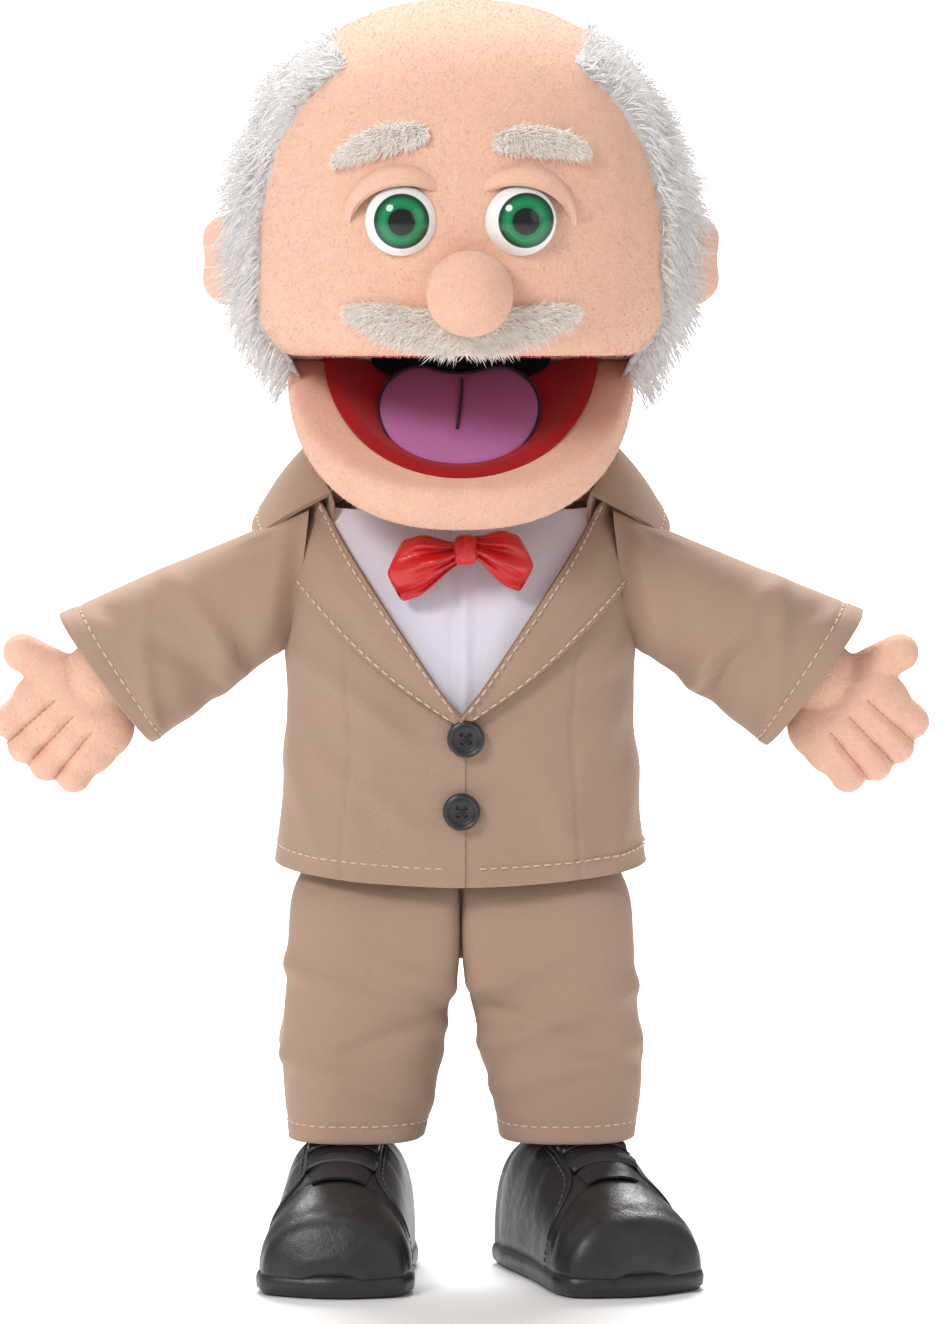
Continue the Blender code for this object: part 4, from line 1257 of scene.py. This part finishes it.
def lapel_grid(sign, rows=64, columns=26, lift=3.0):
    """The lapel from the button up: the roll line inside, the pointed edge outside."""
    notch = 0.74
    s = np.linspace(0, 1, columns)
    grid = []
    for t in np.linspace(0, 1, rows):
        roll = np.array((39.5 * t, V_POINT + 57.5 * t))
        if t < notch:
            k = t / notch
            edge = np.array((47.8 * k, V_POINT - 1.5 + 38.5 * k - 3.0 * sin(pi * k)))
        else:
            k = (t - notch) / (1 - notch)
            edge = np.array((47.8 - 1.0 * k, 195.0 + 18.0 * k))
        grid.append(roll * (1 - s[:, None]) + edge * s[:, None])
    x, z = np.moveaxis(np.array(grid), -1, 0)
    y = chest_y(sign * np.minimum(x, 46.0), np.minimum(z, 211)) - lift
    y -= 1.3 * np.sin(pi * np.minimum(s * 1.4, 1)) * ease(z, 162, 180)
    y -= 1.0 * bump(s, 0.0, 0.16)
    return xyz(sign * x, y, z)


def make_lapels():
    """The two lapels, topstitched along the roll and the outer edge."""
    rolls = []
    for side, sign in SIDES.items():
        grid = lapel_grid(sign)
        lapel = sheet_mesh(f"lapel_{side}_cloth", grid, 1.3, M["suit"])
        rider(lapel, "torso", [f"lapel_{side}"])
        inner, outer = grid[3:, 2] + (0, -0.35, 0), grid[3:47, -3] + (0, -0.35, 0)
        rolls += [inner, outer]
    rider(stitches("lapel_stitching", rolls, M["thread"]), "torso")


def collar_rows():
    """The collar's edge and its fold, round the back of the neck from one tip to the other."""
    reach = radians(115)
    angle = np.linspace(-reach, reach, 120)
    tip = np.abs(angle) / reach
    edge_x = (53.5 + 10.0 * tip**4) * np.sin(angle)
    edge_y = 21 + 31.0 * np.cos(angle) - 11.0 * tip**4
    edge = xyz(edge_x, edge_y, 216.0 - 10.5 * tip**2)
    fold_x, fold_y = (45.0 - 4.0 * tip**3) * np.sin(angle), 22 + 26.0 * np.cos(angle) - 15.0 * tip**3
    fold = xyz(fold_x, fold_y, 231.5 - 13.5 * tip**4)
    return edge, fold


def make_collar():
    """The fallen leaf from its edge up to the fold, and the stand down inside it."""
    edge, fold = collar_rows()
    middle = (0, 22, 0)
    rows = []
    for t in np.linspace(0, 1, 14):
        row = edge * (1 - t) + fold * t
        rows.append(row + level_out(row, middle) * 1.8 * sin(pi * t))
    inward = -level_out(fold, middle)
    rows.append(fold + inward * 1.2 + (0, 0, 0.3))
    for drop in (3, 7, 11, 16, 20):
        rows.append(fold + inward * (2.2 + 0.06 * drop) - (0, 0, drop))
    collar = sheet_mesh("jacket_collar_cloth", np.array(rows), 1.2, M["suit"])
    rider(collar, "torso", ["jacket_collar"])
    line = rows[2] + 0.2 * (rows[2] - rows[3])
    rider(stitches("collar_stitching", [line], M["thread"]), "torso")


def make_jacket_stitches():
    """Topstitching along the hem, as a row on each front and one on the back."""
    middle = (0, 8, 0)
    paths = []
    angle = np.linspace(radians(2), radians(84), 60)
    for sign in SIDES.values():
        line = torso_point(sign * angle, np.full_like(angle, 118.0))
        line[:, 2] = hem_height(line[:, 0]) + 5.2
        depth = jacket_relief(line[:, 0], line[:, 2]) + 0.35
        paths.append(line + level_out(line, middle) * depth[:, None])
    angle = np.linspace(radians(90), radians(270), 120)
    line = torso_point(angle, np.full_like(angle, 119.0))
    line += level_out(line, middle) * 0.3
    paths.append(line + back_folds(line))
    rider(stitches("jacket_hem_stitching", paths, M["thread"]), "torso")


def make_shirt():
    """The shirt front with its placket fold."""
    x, z = np.linspace(-39.0, 39.0, 90)[None], np.linspace(140, 213, 70)[:, None]
    y = chest_y(*np.broadcast_arrays(x, z)) + 2.0
    y -= 0.9 * bump(x, 1.0, 1.6) - 0.7 * bump(x, -2.2, 1.1)
    y -= 0.35 * bump(x, 13 + (z - 190) * 0.15, 3) + 0.35 * bump(x, -14 - (z - 190) * 0.2, 3)
    shirt = sheet_mesh("shirt_front_cloth", xyz(x, y, z), 0.9, M["shirt"])
    rider(shirt, "torso", ["shirt_front"])


def make_bow():
    """Satin wings that flare from the knot, and the knot."""
    make_wing("left", -1, 20.5, 17.0, 200.6)
    make_wing("right", 1, 17.5, 15.5, 202.6)

    def pleated(points):
        return points + xyz(0, -0.5 * np.cos((points[..., 0] - 1.3) * 2.4), 0)

    centre, radii = (1.3, -31.5, 205.8), (3.6, 4.6, 4.3)
    knot = blob("bow_tie_knot_satin", centre, radii, 2.8, M["satin"], 32, 48, shape=pleated)
    rider(knot, "torso", ["bow_tie_knot"])


def make_wing(side, sign, length, height, z):
    """One wing of the bow, pleated where it is gathered."""
    angle = full_turn(64)
    rings = []
    for t in np.linspace(0.0, 1.0, 56):
        end = sqrt(max(0.0, 1 - max(0, (t - 0.86) / 0.14) ** 2))
        high = height / 2 * (0.36 + 0.64 * ease(t, 0.0, 0.7)) * (0.35 + 0.65 * end)
        thick = (1.6 + 4.2 * sin(pi * min(1, t * 0.9 + 0.1))) * (0.25 + 0.75 * end)
        pleat = 1 + 0.42 * np.cos(angle * 9 + sign) * (1 - t) ** 0.7 + 0.22 * np.cos(angle * 5 + 2 * t)
        px = 1.4 + sign * (1.0 + (length - 1.0) * t) + sign * 1.2 * np.cos(angle * 2) * t
        py = -30.5 + 1.5 * t - thick * np.cos(angle) * pleat - 1.2 * np.sin(angle * 3 + 1) * t
        pz = z + 4.6 * (1 - t) + high * np.sin(angle) - 1.6 * t
        rings.append(xyz(px, py, pz))
    wing = tube(f"bow_tie_{side}_satin", np.array(rings), M["satin"])
    rider(wing, "torso", [f"bow_tie_{side}_wing"])


def make_buttons():
    """The two coat buttons."""
    make_button("upper", 1.4, 153.4)
    make_button("lower", 0.2, 133.0)


def make_button(level, x, z):
    """A four-hole coat button: a dished middle inside a thick rim, sewn on with dark thread."""
    front = float(chest_y(np.array(x), np.array(z))) - 1.1
    profile = (
        (0.01, 1.55), (3.1, 1.55), (3.5, 1.75), (3.9, 2.35), (4.4, 2.55), (4.9, 2.3), (5.2, 1.6),
        (5.2, 0.9), (4.8, 0.3), (3.9, 0.05), (0.01, 0.05),
    )
    turn = full_turn(56)
    rings = [xyz(x + r * np.cos(turn), front - h, z + r * np.sin(turn)) for r, h in profile]
    button = tube(f"button_{level}", np.array(rings), M["button"])

    def near(angle, depth, share=1.0):
        """A point in front of a hole, or a share of the way out to it."""
        reach = 1.55 * share
        return x + reach * cos(angle), front + depth, z + reach * sin(angle)

    for i in range(4):
        angle = pi / 4 + i * pi / 2
        cut(button, cord_tube("hole", [near(angle, -4), near(angle, 2)], 0.62, M["button"], 12))
    button.data.shade_smooth()
    crisp(button, 40)
    rider(button, "torso", [f"jacket_button_{level}"])
    threads = []
    for angle in (pi / 4, 3 * pi / 4):
        path = near(angle, -1.0, -1), near(angle, -1.95, -0.6), near(angle, -1.95, 0.6), near(angle, -1.0)
        threads.append(cord_tube("thread", path, 0.32, M["outline"], 6))
    rider(joined(f"button_{level}_thread", threads, M["outline"]), "torso")


# Neck
def make_neck():
    """A fleece tube from inside the collar up into the head, open at both ends."""
    columns, rows = 72, 30
    angle = full_turn(columns)
    outer, inner = [], []
    for z in np.linspace(208, 252, rows):
        swell = 1 + 0.02 * sin((z - 208) / 5)
        top = sqrt(max(0.0, 1 - max(0, (z - 238) / 17.5) ** 2))
        x = 28.8 * swell * np.cos(angle) * (0.6 + 0.4 * top)
        y = 17.0 * swell * np.sin(angle) * top * 0.99
        outer.append(xyz(x, 22 + y, z))
        inner.append(xyz(x * 0.92, 22 + y * 0.88, z))
    last = (2 * rows - 1) * columns
    faces = grid_faces(2 * rows, columns, True)
    faces += [(last + j, last + (j + 1) % columns, (j + 1) % columns, j) for j in range(columns)]
    neck = new_object("neck_fleece", np.array(outer + inner[::-1]).reshape(-1, 3), faces, M["skin"])
    bridge(neck, ("neck", "head"), (0, 22, 228), (0, 22, 244), "neck_tube")


# Arms
def arm(sign):
    """The shoulder, and the unit step out along the arm."""
    drop = radians(ARM_DROP)
    return np.array((sign * 50.0, 0, 192.0)), np.array((sign * cos(drop), 0, -sin(drop)))


def squarish(c, s, power):
    """How far out a superellipse of unit radii lies in each direction."""
    return 1 / (np.abs(c) ** power + np.abs(s) ** power) ** (1 / power)


def sleeve_ring(sign, distance, angle, shrink=0.0):
    """A ring of the sleeve. It is upright in the armhole and slants with the cuff at the other end."""
    t = distance / CUFF_AT
    armhole, cuff = np.array(((49.0, 210.6), (50.5, 172.8))), np.array(((111.9, 184.2), (85.4, 147.4)))
    high, low = armhole * (1 - t) + cuff * t
    centre, half = (high + low) / 2, (high - low) / 2
    tall = np.linalg.norm(half)
    half /= tall
    deep = 16.5 + 2.4 * float(ease(t, 0.0, 0.8)) - 3.4 * float(ease(-distance, -2.5, 5))
    c, s = np.cos(angle), np.sin(angle)
    shape = squarish(c, s, 2.3)
    ripple = sleeve_folds(sign, distance, angle) * (shrink == 0) - shrink
    across = (tall + ripple) * c * shape
    x, z = centre[0] + half[0] * across, centre[1] + half[1] * across
    return xyz(sign * x, (deep + ripple) * s * shape, z)


def sleeve_folds(sign, distance, angle):
    """Soft folds: drawn in at the armhole, slack under the arm and across the elbow."""
    c, s = np.cos(angle), np.sin(angle)
    lift = 0.9 * np.sin(angle * 3 + 0.6) * bump(distance, 6, 7) * (c < 0.9)
    lift += 1.3 * bump(c, -0.6, 0.5) * sin(distance / 2.9) * bump(distance, 22, 15)
    lift += 1.6 * bump(distance - 8 * c - 3 * sign, 25, 3.2) * bump(s, -0.9, 0.7)
    lift -= 1.3 * bump(distance - 13 * c, 35, 3.2) * bump(s, -0.9, 0.7)
    lift += 1.4 * bump(distance + 9 * c, 44, 3.0) * bump(s, -0.9, 0.6)
    lift -= 0.5 * bump(distance, CUFF_AT - 4.6, 0.7)
    lift += 0.6 * np.sin(angle * 2 + 1.5 * sign) * ease(distance, 30, 56)
    return lift * ease(distance, -1, 4)


def make_sleeves():
    """Each arm's two lengths of sleeve, which meet at the elbow, with the cuff turned in."""
    angle = full_turn(88)
    meet = 16.0
    for side, sign in SIDES.items():
        shoulder, out = arm(sign)
        elbow = shoulder + out * ELBOW_AT
        body, upper_arm, forearm = "torso", f"{side}_upper_arm", f"{side}_forearm"
        upper = [sleeve_ring(sign, d, angle) for d in np.linspace(-6, meet, 30)]
        piece = tube(f"{side}_upper_sleeve_cloth", upper, M["suit"])
        crisp(piece, 50)
        ends = shoulder - out * 6, shoulder + out * 10
        bridge(piece, (body, upper_arm), *ends, f"{side}_upper_sleeve", 0.6)
        lower = [sleeve_ring(sign, d, angle) for d in np.linspace(meet, CUFF_AT, 52)]
        lower.append(sleeve_ring(sign, CUFF_AT + 0.5, angle, 0.7))
        lower += [sleeve_ring(sign, d, angle, 1.5) for d in np.linspace(CUFF_AT, CUFF_AT - 9, 8)]
        piece = tube(f"{side}_lower_sleeve_cloth", lower, M["suit"])
        crisp(piece, 50)
        ends = elbow - out * 7, elbow + out * 9
        bridge(piece, (upper_arm, forearm), *ends, f"{side}_lower_sleeve", 0.6)
        loop = proud(sleeve_ring(sign, CUFF_AT - 4.6, np.linspace(0, 2 * pi, 160)))
        rider(stitches(f"{side}_cuff_stitching", [loop], M["thread"]), forearm)


def proud(loop):
    """A loop of sewing, set a little out from the cloth that it goes round."""
    return loop + unit(loop - loop.mean(0)) * 0.15


def capsule(name, start, end, radius, flat=1.0):
    """A rounded finger between two points, flattened front to back."""
    length = np.linalg.norm(end - start)
    run = unit(end - start)
    side = np.cross(run, (0, 1.0, 0))
    turn = full_turn(20)
    rings = []
    for lean in np.linspace(-pi / 2 + 0.05, pi / 2 - 0.05, 20):
        middle = start + run * (radius * sin(lean) + (length if lean > 0 else 0))
        r = radius * cos(lean)
        across = np.outer(r * np.cos(turn), side)
        rings.append(middle + across + np.outer(r * flat * np.sin(turn), (0, 1, 0)))
    return tube(name, np.array(rings), M["skin"])


def make_hands(rng):
    """Stuffed mitten hands: palm to the front, thumb up, fingers divided by sewn grooves."""
    drop = radians(48)
    for side, sign in SIDES.items():
        shoulder, out = arm(sign)
        wrist = shoulder + out * WRIST_AT
        finger = np.array((sign * cos(drop), 0, -sin(drop)))
        spread = np.array((sign * sin(drop), 0, cos(drop)))
        palm = wrist + finger * 19.0 + spread * 1.0
        hand = joined(f"{side}_hand_fleece", hand_parts(wrist, palm, out, finger, spread), M["skin"])
        melted(hand, 0.75, 6, M["skin"])
        crease_fingers(hand, palm, finger, spread)
        body = f"{side}_hand_body"
        rider(hand, body, [f"{side}_hand"])
        fuzz(f"{side}_hand_pile", hand, body, 0.8, 0.8, rng)
        lines = finger_lines(hand, palm, finger, spread)
        # The stitching wears the darker skin copy: painted shade along the finger grooves.
        sewing = stitches(f"{side}_finger_stitching", lines, M["skin_deep"], 1.5, 1.9, 0.2)
        rider(sewing, body)


def hand_parts(wrist, palm, out, finger, spread):
    """The stuffed forms of a hand: wrist, palm, four fingers and a thumb."""
    parts = [
        capsule("wrist", wrist - out * 2, wrist + out * 6, 10.6, 0.92),
        capsule("heel", palm - spread * 7.5 - finger * 3, palm + spread * 6.5 - finger * 3, 10.2, 0.76),
        capsule("palm", palm - spread * 8.0 + finger * 3, palm + spread * 7.5 + finger * 3, 9.6, 0.72),
    ]
    for i, (length, fan) in enumerate(((9.8, 0.10), (12.2, 0.03), (11.8, -0.04), (9.2, -0.12))):
        root = palm + spread * (10.6 - FINGER_PITCH * i) + finger * 3
        parts.append(capsule("finger", root, root + (finger + spread * fan) * length, 5.0, 0.95))
    thumb = palm + spread * 9.0 - finger * 7.5
    parts.append(capsule("thumb", thumb, thumb + spread * 13.0 + finger * 3.5, 5.5, 0.95))
    return parts


def groove_at(i, run):
    """How far across the palm a groove between two fingers lies."""
    return 7.05 - FINGER_PITCH * i + (0.075 - 0.075 * i) * (run - 3)


def crease_fingers(hand, palm, finger, spread):
    """Draws the fleece in along the seams between the fingers."""
    points = points_in(hand)
    run, across = (points - palm) @ finger, (points - palm) @ spread
    for i in range(3):
        depth = 1.7 * bump(across, groove_at(i, run), 1.0) * ease(run, -4, 4)
        points[:, 1] -= np.sign(points[:, 1]) * np.minimum(depth, np.abs(points[:, 1]) * 0.6)
    hand.data.vertices.foreach_set("co", place(points).ravel())
    hand.data.update()


def finger_lines(hand, palm, finger, spread):
    """Paths along the grooves' floors, on both faces of the hand."""
    tree = BVHTree.FromObject(hand, bpy.context.evaluated_depsgraph_get())
    paths = []
    for i in range(3):
        for face in (-1, 1):
            path = []
            for run in np.linspace(-1.0, 17.5, 24):
                start = palm + finger * run + spread * groove_at(i, run) + (0, face * 30, 0)
                hit = tree.ray_cast(Vector(place(start)), Vector((0, -face, 0)))[0]
                if hit:
                    path.append(np.array(hit) / MM - (0, MIDDLE_Y - face * 0.05, 0))
            paths.append(path)
    return paths


# Legs
# Trouser leg rings from the hem up: height, centre x, half width, half depth, centre y
LEG_RINGS = np.array((
    (38.0, 29.6, 19.2, 19.0, -9.0),
    (46.0, 29.2, 20.4, 19.0, -9.0),
    (60.0, 28.3, 22.2, 19.0, -9.0),
    (74.0, 26.6, 23.2, 19.2, -9.0),
    (84.0, 25.0, 24.0, 19.6, -9.3),
    (94.0, 24.4, 24.3, 20.0, -9.8),
    (108.0, 23.4, 23.3, 18.6, -9.6),
    (114.0, 21.8, 21.7, 16.0, -8.6),
    (127.0, 19.0, 18.9, 12.0, -8.0),
))


def leg_folds(sign, z, angle):
    """Diagonal creases from the crotch, slack above the hem and a pressed side seam."""
    c, s = np.cos(angle), np.sin(angle)
    front = ease(-s, -0.2, 0.5)
    lift = 2.0 * bump(z - 12 * c, 90, 3.6) * bump(c, -0.6, 0.6) * front
    lift += 1.7 * bump(z - 9 * c + 3 * sign, 76, 3.2) * front
    lift -= 1.4 * bump(z + 10 * c - 2 * sign, 67, 3.4) * front
    lift += 1.4 * bump(z - 7 * c - 2 * sign, 57, 3.4) * front
    lift += 1.0 * bump(z - 5 * np.sin(angle * 2), 62, 4.0) * (1 - front)
    lift += 0.8 * np.sin(angle * 3 + sign) * bump(z, 50, 12)
    lift -= 0.5 * bump(z, 43.0, 0.7)
    lift -= 0.7 * bump(c, 0.99, 0.02)
    return lift * float(ease(-z, -112, -104))


def leg_ring(sign, z, angle, shrink=0.0):
    """A ring of a trouser leg, flat where it meets the other leg."""
    cx, hx, hy, cy = (float(smooth(LEG_RINGS, z, k)) for k in (1, 2, 3, 4))
    c, s = np.cos(angle), np.sin(angle)
    power = 2.5 + 4.5 * float(ease(z, 76, 92)) * (c < 0)
    shape = squarish(c, s, power)
    ripple = leg_folds(sign, z, angle) * (shrink == 0)
    x = sign * np.maximum(cx + (hx - shrink + ripple) * c * shape, 0.04)
    return xyz(x, cy + (hy - shrink + ripple) * s * shape, z)


def make_trousers():
    """The seat under the jacket, and the two legs with their hems turned in."""
    seat = blob("trouser_seat_cloth", (0, -9, 108), (6, 12.0, 20), 2.6, M["suit"], 40, 48)
    rider(seat, "torso", ["trouser_waist"])
    angle = full_turn(96)
    for side, sign in SIDES.items():
        rings = [leg_ring(sign, z, angle) for z in np.linspace(127, 38.5, 88)]
        rings.append(leg_ring(sign, 38.0, angle, 0.6))
        rings += [leg_ring(sign, z, angle, 1.5) for z in np.linspace(39, 50, 7)]
        leg = tube(f"{side}_trouser_leg_cloth", np.array(rings), M["suit"])
        bridge(leg, ("torso", f"{side}_leg"), (0, -9, 107), (0, -9, 84), f"{side}_trouser_leg", 0.7)
        loop = proud(leg_ring(sign, 43.0, np.linspace(0, 2 * pi, 180)))
        rider(stitches(f"{side}_hem_stitching", [loop], M["thread"]), f"{side}_leg")


# Shoes
# Each shoe's centre x and how far its toe turns, in degrees
SHOE = {"left": (-31.5, -5.0), "right": (31.5, 22.0)}
SHOE_Y = -9
# Shoe sections from the heel to the toe: forward, half width, height, fullness of the top
SHOE_SECTIONS = np.array((
    (-23.0, 9.0, 22.0, 2.6),
    (-20.0, 14.5, 31.0, 2.8),
    (-12.0, 17.5, 36.5, 3.0),
    (0.0, 18.2, 38.5, 3.0),
    (12.0, 18.6, 37.5, 2.7),
    (22.0, 19.6, 33.0, 2.4),
    (32.0, 20.8, 28.0, 2.3),
    (42.0, 20.6, 23.5, 2.3),
    (48.0, 17.0, 18.5, 2.3),
    (51.2, 9.0, 11.0, 2.2),
))


def shoe_place(side, points):
    """From the shoe's own frame (x, forward, up) to the puppet's."""
    cx, turn = SHOE[side]
    x, forward, up = np.moveaxis(np.asarray(points, float), -1, 0)
    c, s = cos(radians(turn)), sin(radians(turn))
    return xyz(cx + x * c + forward * s, SHOE_Y + x * s - forward * c, up)


def shoe_top(x, forward):
    """The upper's height over a place on the floor, in the shoe's own frame."""
    half, high, power = (smooth(SHOE_SECTIONS, forward, k) for k in (1, 2, 3))
    rest = np.maximum(1 - (np.abs(x) / half) ** power, 0)
    return 6 + (high - 6) * rest ** (1 / power)


def make_shoe(side):
    """The upper with its toe crease, then the sole and the trims."""
    body = f"{side}_foot"
    c, s = np.cos(np.linspace(0, pi, 60)), np.sin(np.linspace(0, pi, 60))
    rings = []
    for f in np.concatenate((np.linspace(-23, -16, 10), np.linspace(-15, 44, 60), np.linspace(45, 51.2, 12))):
        half, high, power = (float(smooth(SHOE_SECTIONS, f, k)) for k in (1, 2, 3))
        x = half * np.sign(c) * np.abs(c) ** (2 / power)
        up = 5.6 + (high - 5.6) * np.abs(s) ** (2 / power)
        up -= 0.9 * bump(f - 0.018 * x * x, 27.5, 0.9) * ease(up, 10, 14)
        up += 0.6 * bump(f, 5, 2.2) * ease(up, 24, 32) - 0.5 * bump(f, 12, 1.6) * ease(up, 22, 30)
        under = xyz(np.linspace(-half, half, 14)[1:-1], f, 5.2)
        rings.append(shoe_place(side, np.vstack((xyz(x, f, up), under))))
    upper = tube(f"{side}_shoe_leather", np.array(rings), M["leather"])
    rider(upper, body, [f"{side}_shoe_upper"])
    make_sole(side, body)
    make_shoe_details(side, body)


def sole_outline(grow):
    """The sole's edge in the shoe's frame, a little proud of the upper."""
    forward = np.concatenate((np.linspace(-23.4, 51.6, 60), np.linspace(51.6, -23.4, 60)))
    half = smooth(SHOE_SECTIONS, forward, 1) + grow
    ends = np.sqrt(np.clip(1 - ((forward - 14.1) / 38.2) ** 16, 0, 1))
    side = np.concatenate((np.ones(60), -np.ones(60)))
    return pair(side * half * ends, 14.1 + (forward - 14.1) * (1 + grow / 38))


def make_sole(side, body):
    """The sole's band, rounded at its edges."""
    rings = []
    for up, grow in ((0.0, -1.4), (0.3, -0.3), (1.6, 0.7), (4.0, 0.9), (5.4, 0.5), (6.2, -0.4), (6.2, -3.0)):
        edge = sole_outline(grow)
        rings.append(shoe_place(side, np.column_stack((edge, np.full(len(edge), up)))))
    sole = tube(f"{side}_sole_band", np.array(rings), M["leather"])
    crisp(sole, 60)
    rider(sole, body, [f"{side}_shoe_sole"])


def strip(side, name, line, half, lift, thick):
    """A flat strap laid over the shoe along a line of (x, forward)."""
    line = np.asarray(line, float)
    runs = unit(np.gradient(line, axis=0))
    turn = full_turn(16)
    rings = []
    for (x, f), (rx, rf) in zip(line, runs):
        px, pf = x - rf * half * np.cos(turn), f + rx * half * np.cos(turn)
        rings.append(shoe_place(side, xyz(px, pf, shoe_top(px, pf) + lift + thick * np.sin(turn))))
    return tube(name, np.array(rings), M["leather"])


def make_shoe_details(side, body):
    """The tongue panel with its two raised lace strips, and the quarters' stitched edges."""
    grid = []
    for f in np.linspace(7, 29, 26):
        half = 9.5 - 2.0 * ((f - 7) / 22) ** 2
        x = np.linspace(-half, half, 24)
        puff = 0.7 + 0.7 * bump(f, 10, 3) + 0.5 * bump(f, 17.5, 2.6) + 0.3 * bump(f, 25, 3)
        grid.append(shoe_place(side, xyz(x, f, shoe_top(x, f) + puff * (1 - (x / half) ** 4))))
    tongue = plate_piece(f"{side}_tongue_leather", np.array(grid), M["leather"], 0.9)
    rider(tongue, body, [f"{side}_shoe_tongue"])
    across = np.linspace(-9.8, 9.8, 26)
    for i, f in enumerate((13.2, 21.0)):
        lace = strip(side, f"{side}_lace_strip_{i}", pair(across, f + 0.008 * across**2), 2.0, 1.5, 1.0)
        rider(lace, body)
    t = np.linspace(0, 1, 40)
    f = 4 + 25.5 * ease(t, 0, 0.9) - 1.0 * ease(t, 0.8, 1)
    welts, threads = [], []
    for sign in (-1, 1):
        x = sign * (9.6 + 0.8 * t + 9.2 * ease(t, 0.55, 1.0))
        welts.append(strip(side, "welt", pair(x, f), 0.75, 0.15, 0.75))
        inset = x + sign * 1.5
        line = shoe_place(side, xyz(inset, f - 0.2, shoe_top(inset, f - 0.2) + 0.15))
        threads.append(stitches("thread", [line], M["grey_thread"], 1.5, 2.1, 0.2))
    rider(joined(f"{side}_quarter_edges", welts, M["leather"]), body)
    rider(joined(f"{side}_quarter_stitching", threads, M["grey_thread"]), body)


# Carried CAD nodes
def dress_cad():
    """Materials for the inner pieces, which keep their CAD shapes."""
    dress(bpy.data.objects["head_foam_upper"], M["foam"])
    for side in SIDES:
        dress(bpy.data.objects[f"glove_lining_{side}"], M["lining"])
        dress(bpy.data.objects[f"{side}_eye_washer"], M["washer"])


# Studio
def make_studio():
    """A pale floor, soft lights and a plain white surround."""
    far = 12000
    corners = np.array([(-far, -far, 0), (far, -far, 0), (far, far, 0), (-far, far, 0)])
    floor = new_object("floor", corners, [(0, 1, 2, 3)], plain("floor_paint", (0.90, 0.90, 0.90)))
    floor.location.z = -0.0002
    world = bpy.data.worlds.new("studio")
    bpy.context.scene.world = world
    world.use_nodes = True
    background = world.node_tree.nodes["Background"]
    background.inputs["Color"].default_value = (1, 1, 1, 1)
    background.inputs["Strength"].default_value = 0.42
    middle = (0, 0, 0.18)
    lamp("key", (-0.80, -1.10, 1.15), 0.5, 12.5, middle)
    lamp("fill", (1.1, -1.0, 0.6), 1.0, 1.8, middle)
    lamp("top", (-0.2, 0.25, 1.5), 0.8, 6, middle)
    lamp("backdrop", (0, 3.2, 3.2), 3.0, 520, (0, 4.2, 0))
    bpy.context.scene.view_settings.view_transform = "Standard"


def make_camera():
    """A long lens, looking a little down at the puppet's middle."""
    shown_height, distance, tilt = 369.4, 6000, radians(8)
    target = np.array((3.1, 0, 170.0))
    camera = bpy.data.cameras.new("camera")
    camera.sensor_width = 36
    camera.lens = camera.sensor_width * distance / shown_height
    camera.clip_end = 20
    obj = linked("camera", camera)
    obj.location = place(target + distance * np.array((0, -cos(tilt), sin(tilt))))
    obj.rotation_euler = (radians(90) - tilt, 0, 0)
    bpy.context.scene.camera = obj


def plain(name, colour):
    """An even matt paint."""
    look = Look(name, 0.8)
    look.colour(look.ramp(look.noise(60, 2), shades(colour, 0.01)))
    return look.material


def lamp(name, where, size, power, at):
    """A round soft light at a place, aimed at another. Both are in metres."""
    light = bpy.data.lights.new(name, "AREA")
    light.shape, light.size, light.energy = "DISK", size, power
    obj = linked(name, light)
    obj.location = where
    aim = Vector(at) - Vector(where)
    obj.rotation_euler = aim.to_track_quat("-Z", "Y").to_euler()


def main():
    """Makes every piece, the studio and the camera."""
    rng = np.random.default_rng(SEED)
    make_studio()
    make_camera()
    make_materials()
    make_head(rng)
    make_face(rng)
    make_hair(rng)
    make_brows(rng)
    make_jaw(rng)
    make_mouth()
    make_neck()
    make_jacket()
    make_lapels()
    make_collar()
    make_jacket_stitches()
    make_shirt()
    make_bow()
    make_buttons()
    make_sleeves()
    make_hands(rng)
    make_trousers()
    for side in SIDES:
        make_shoe(side)
    dress_cad()


main()
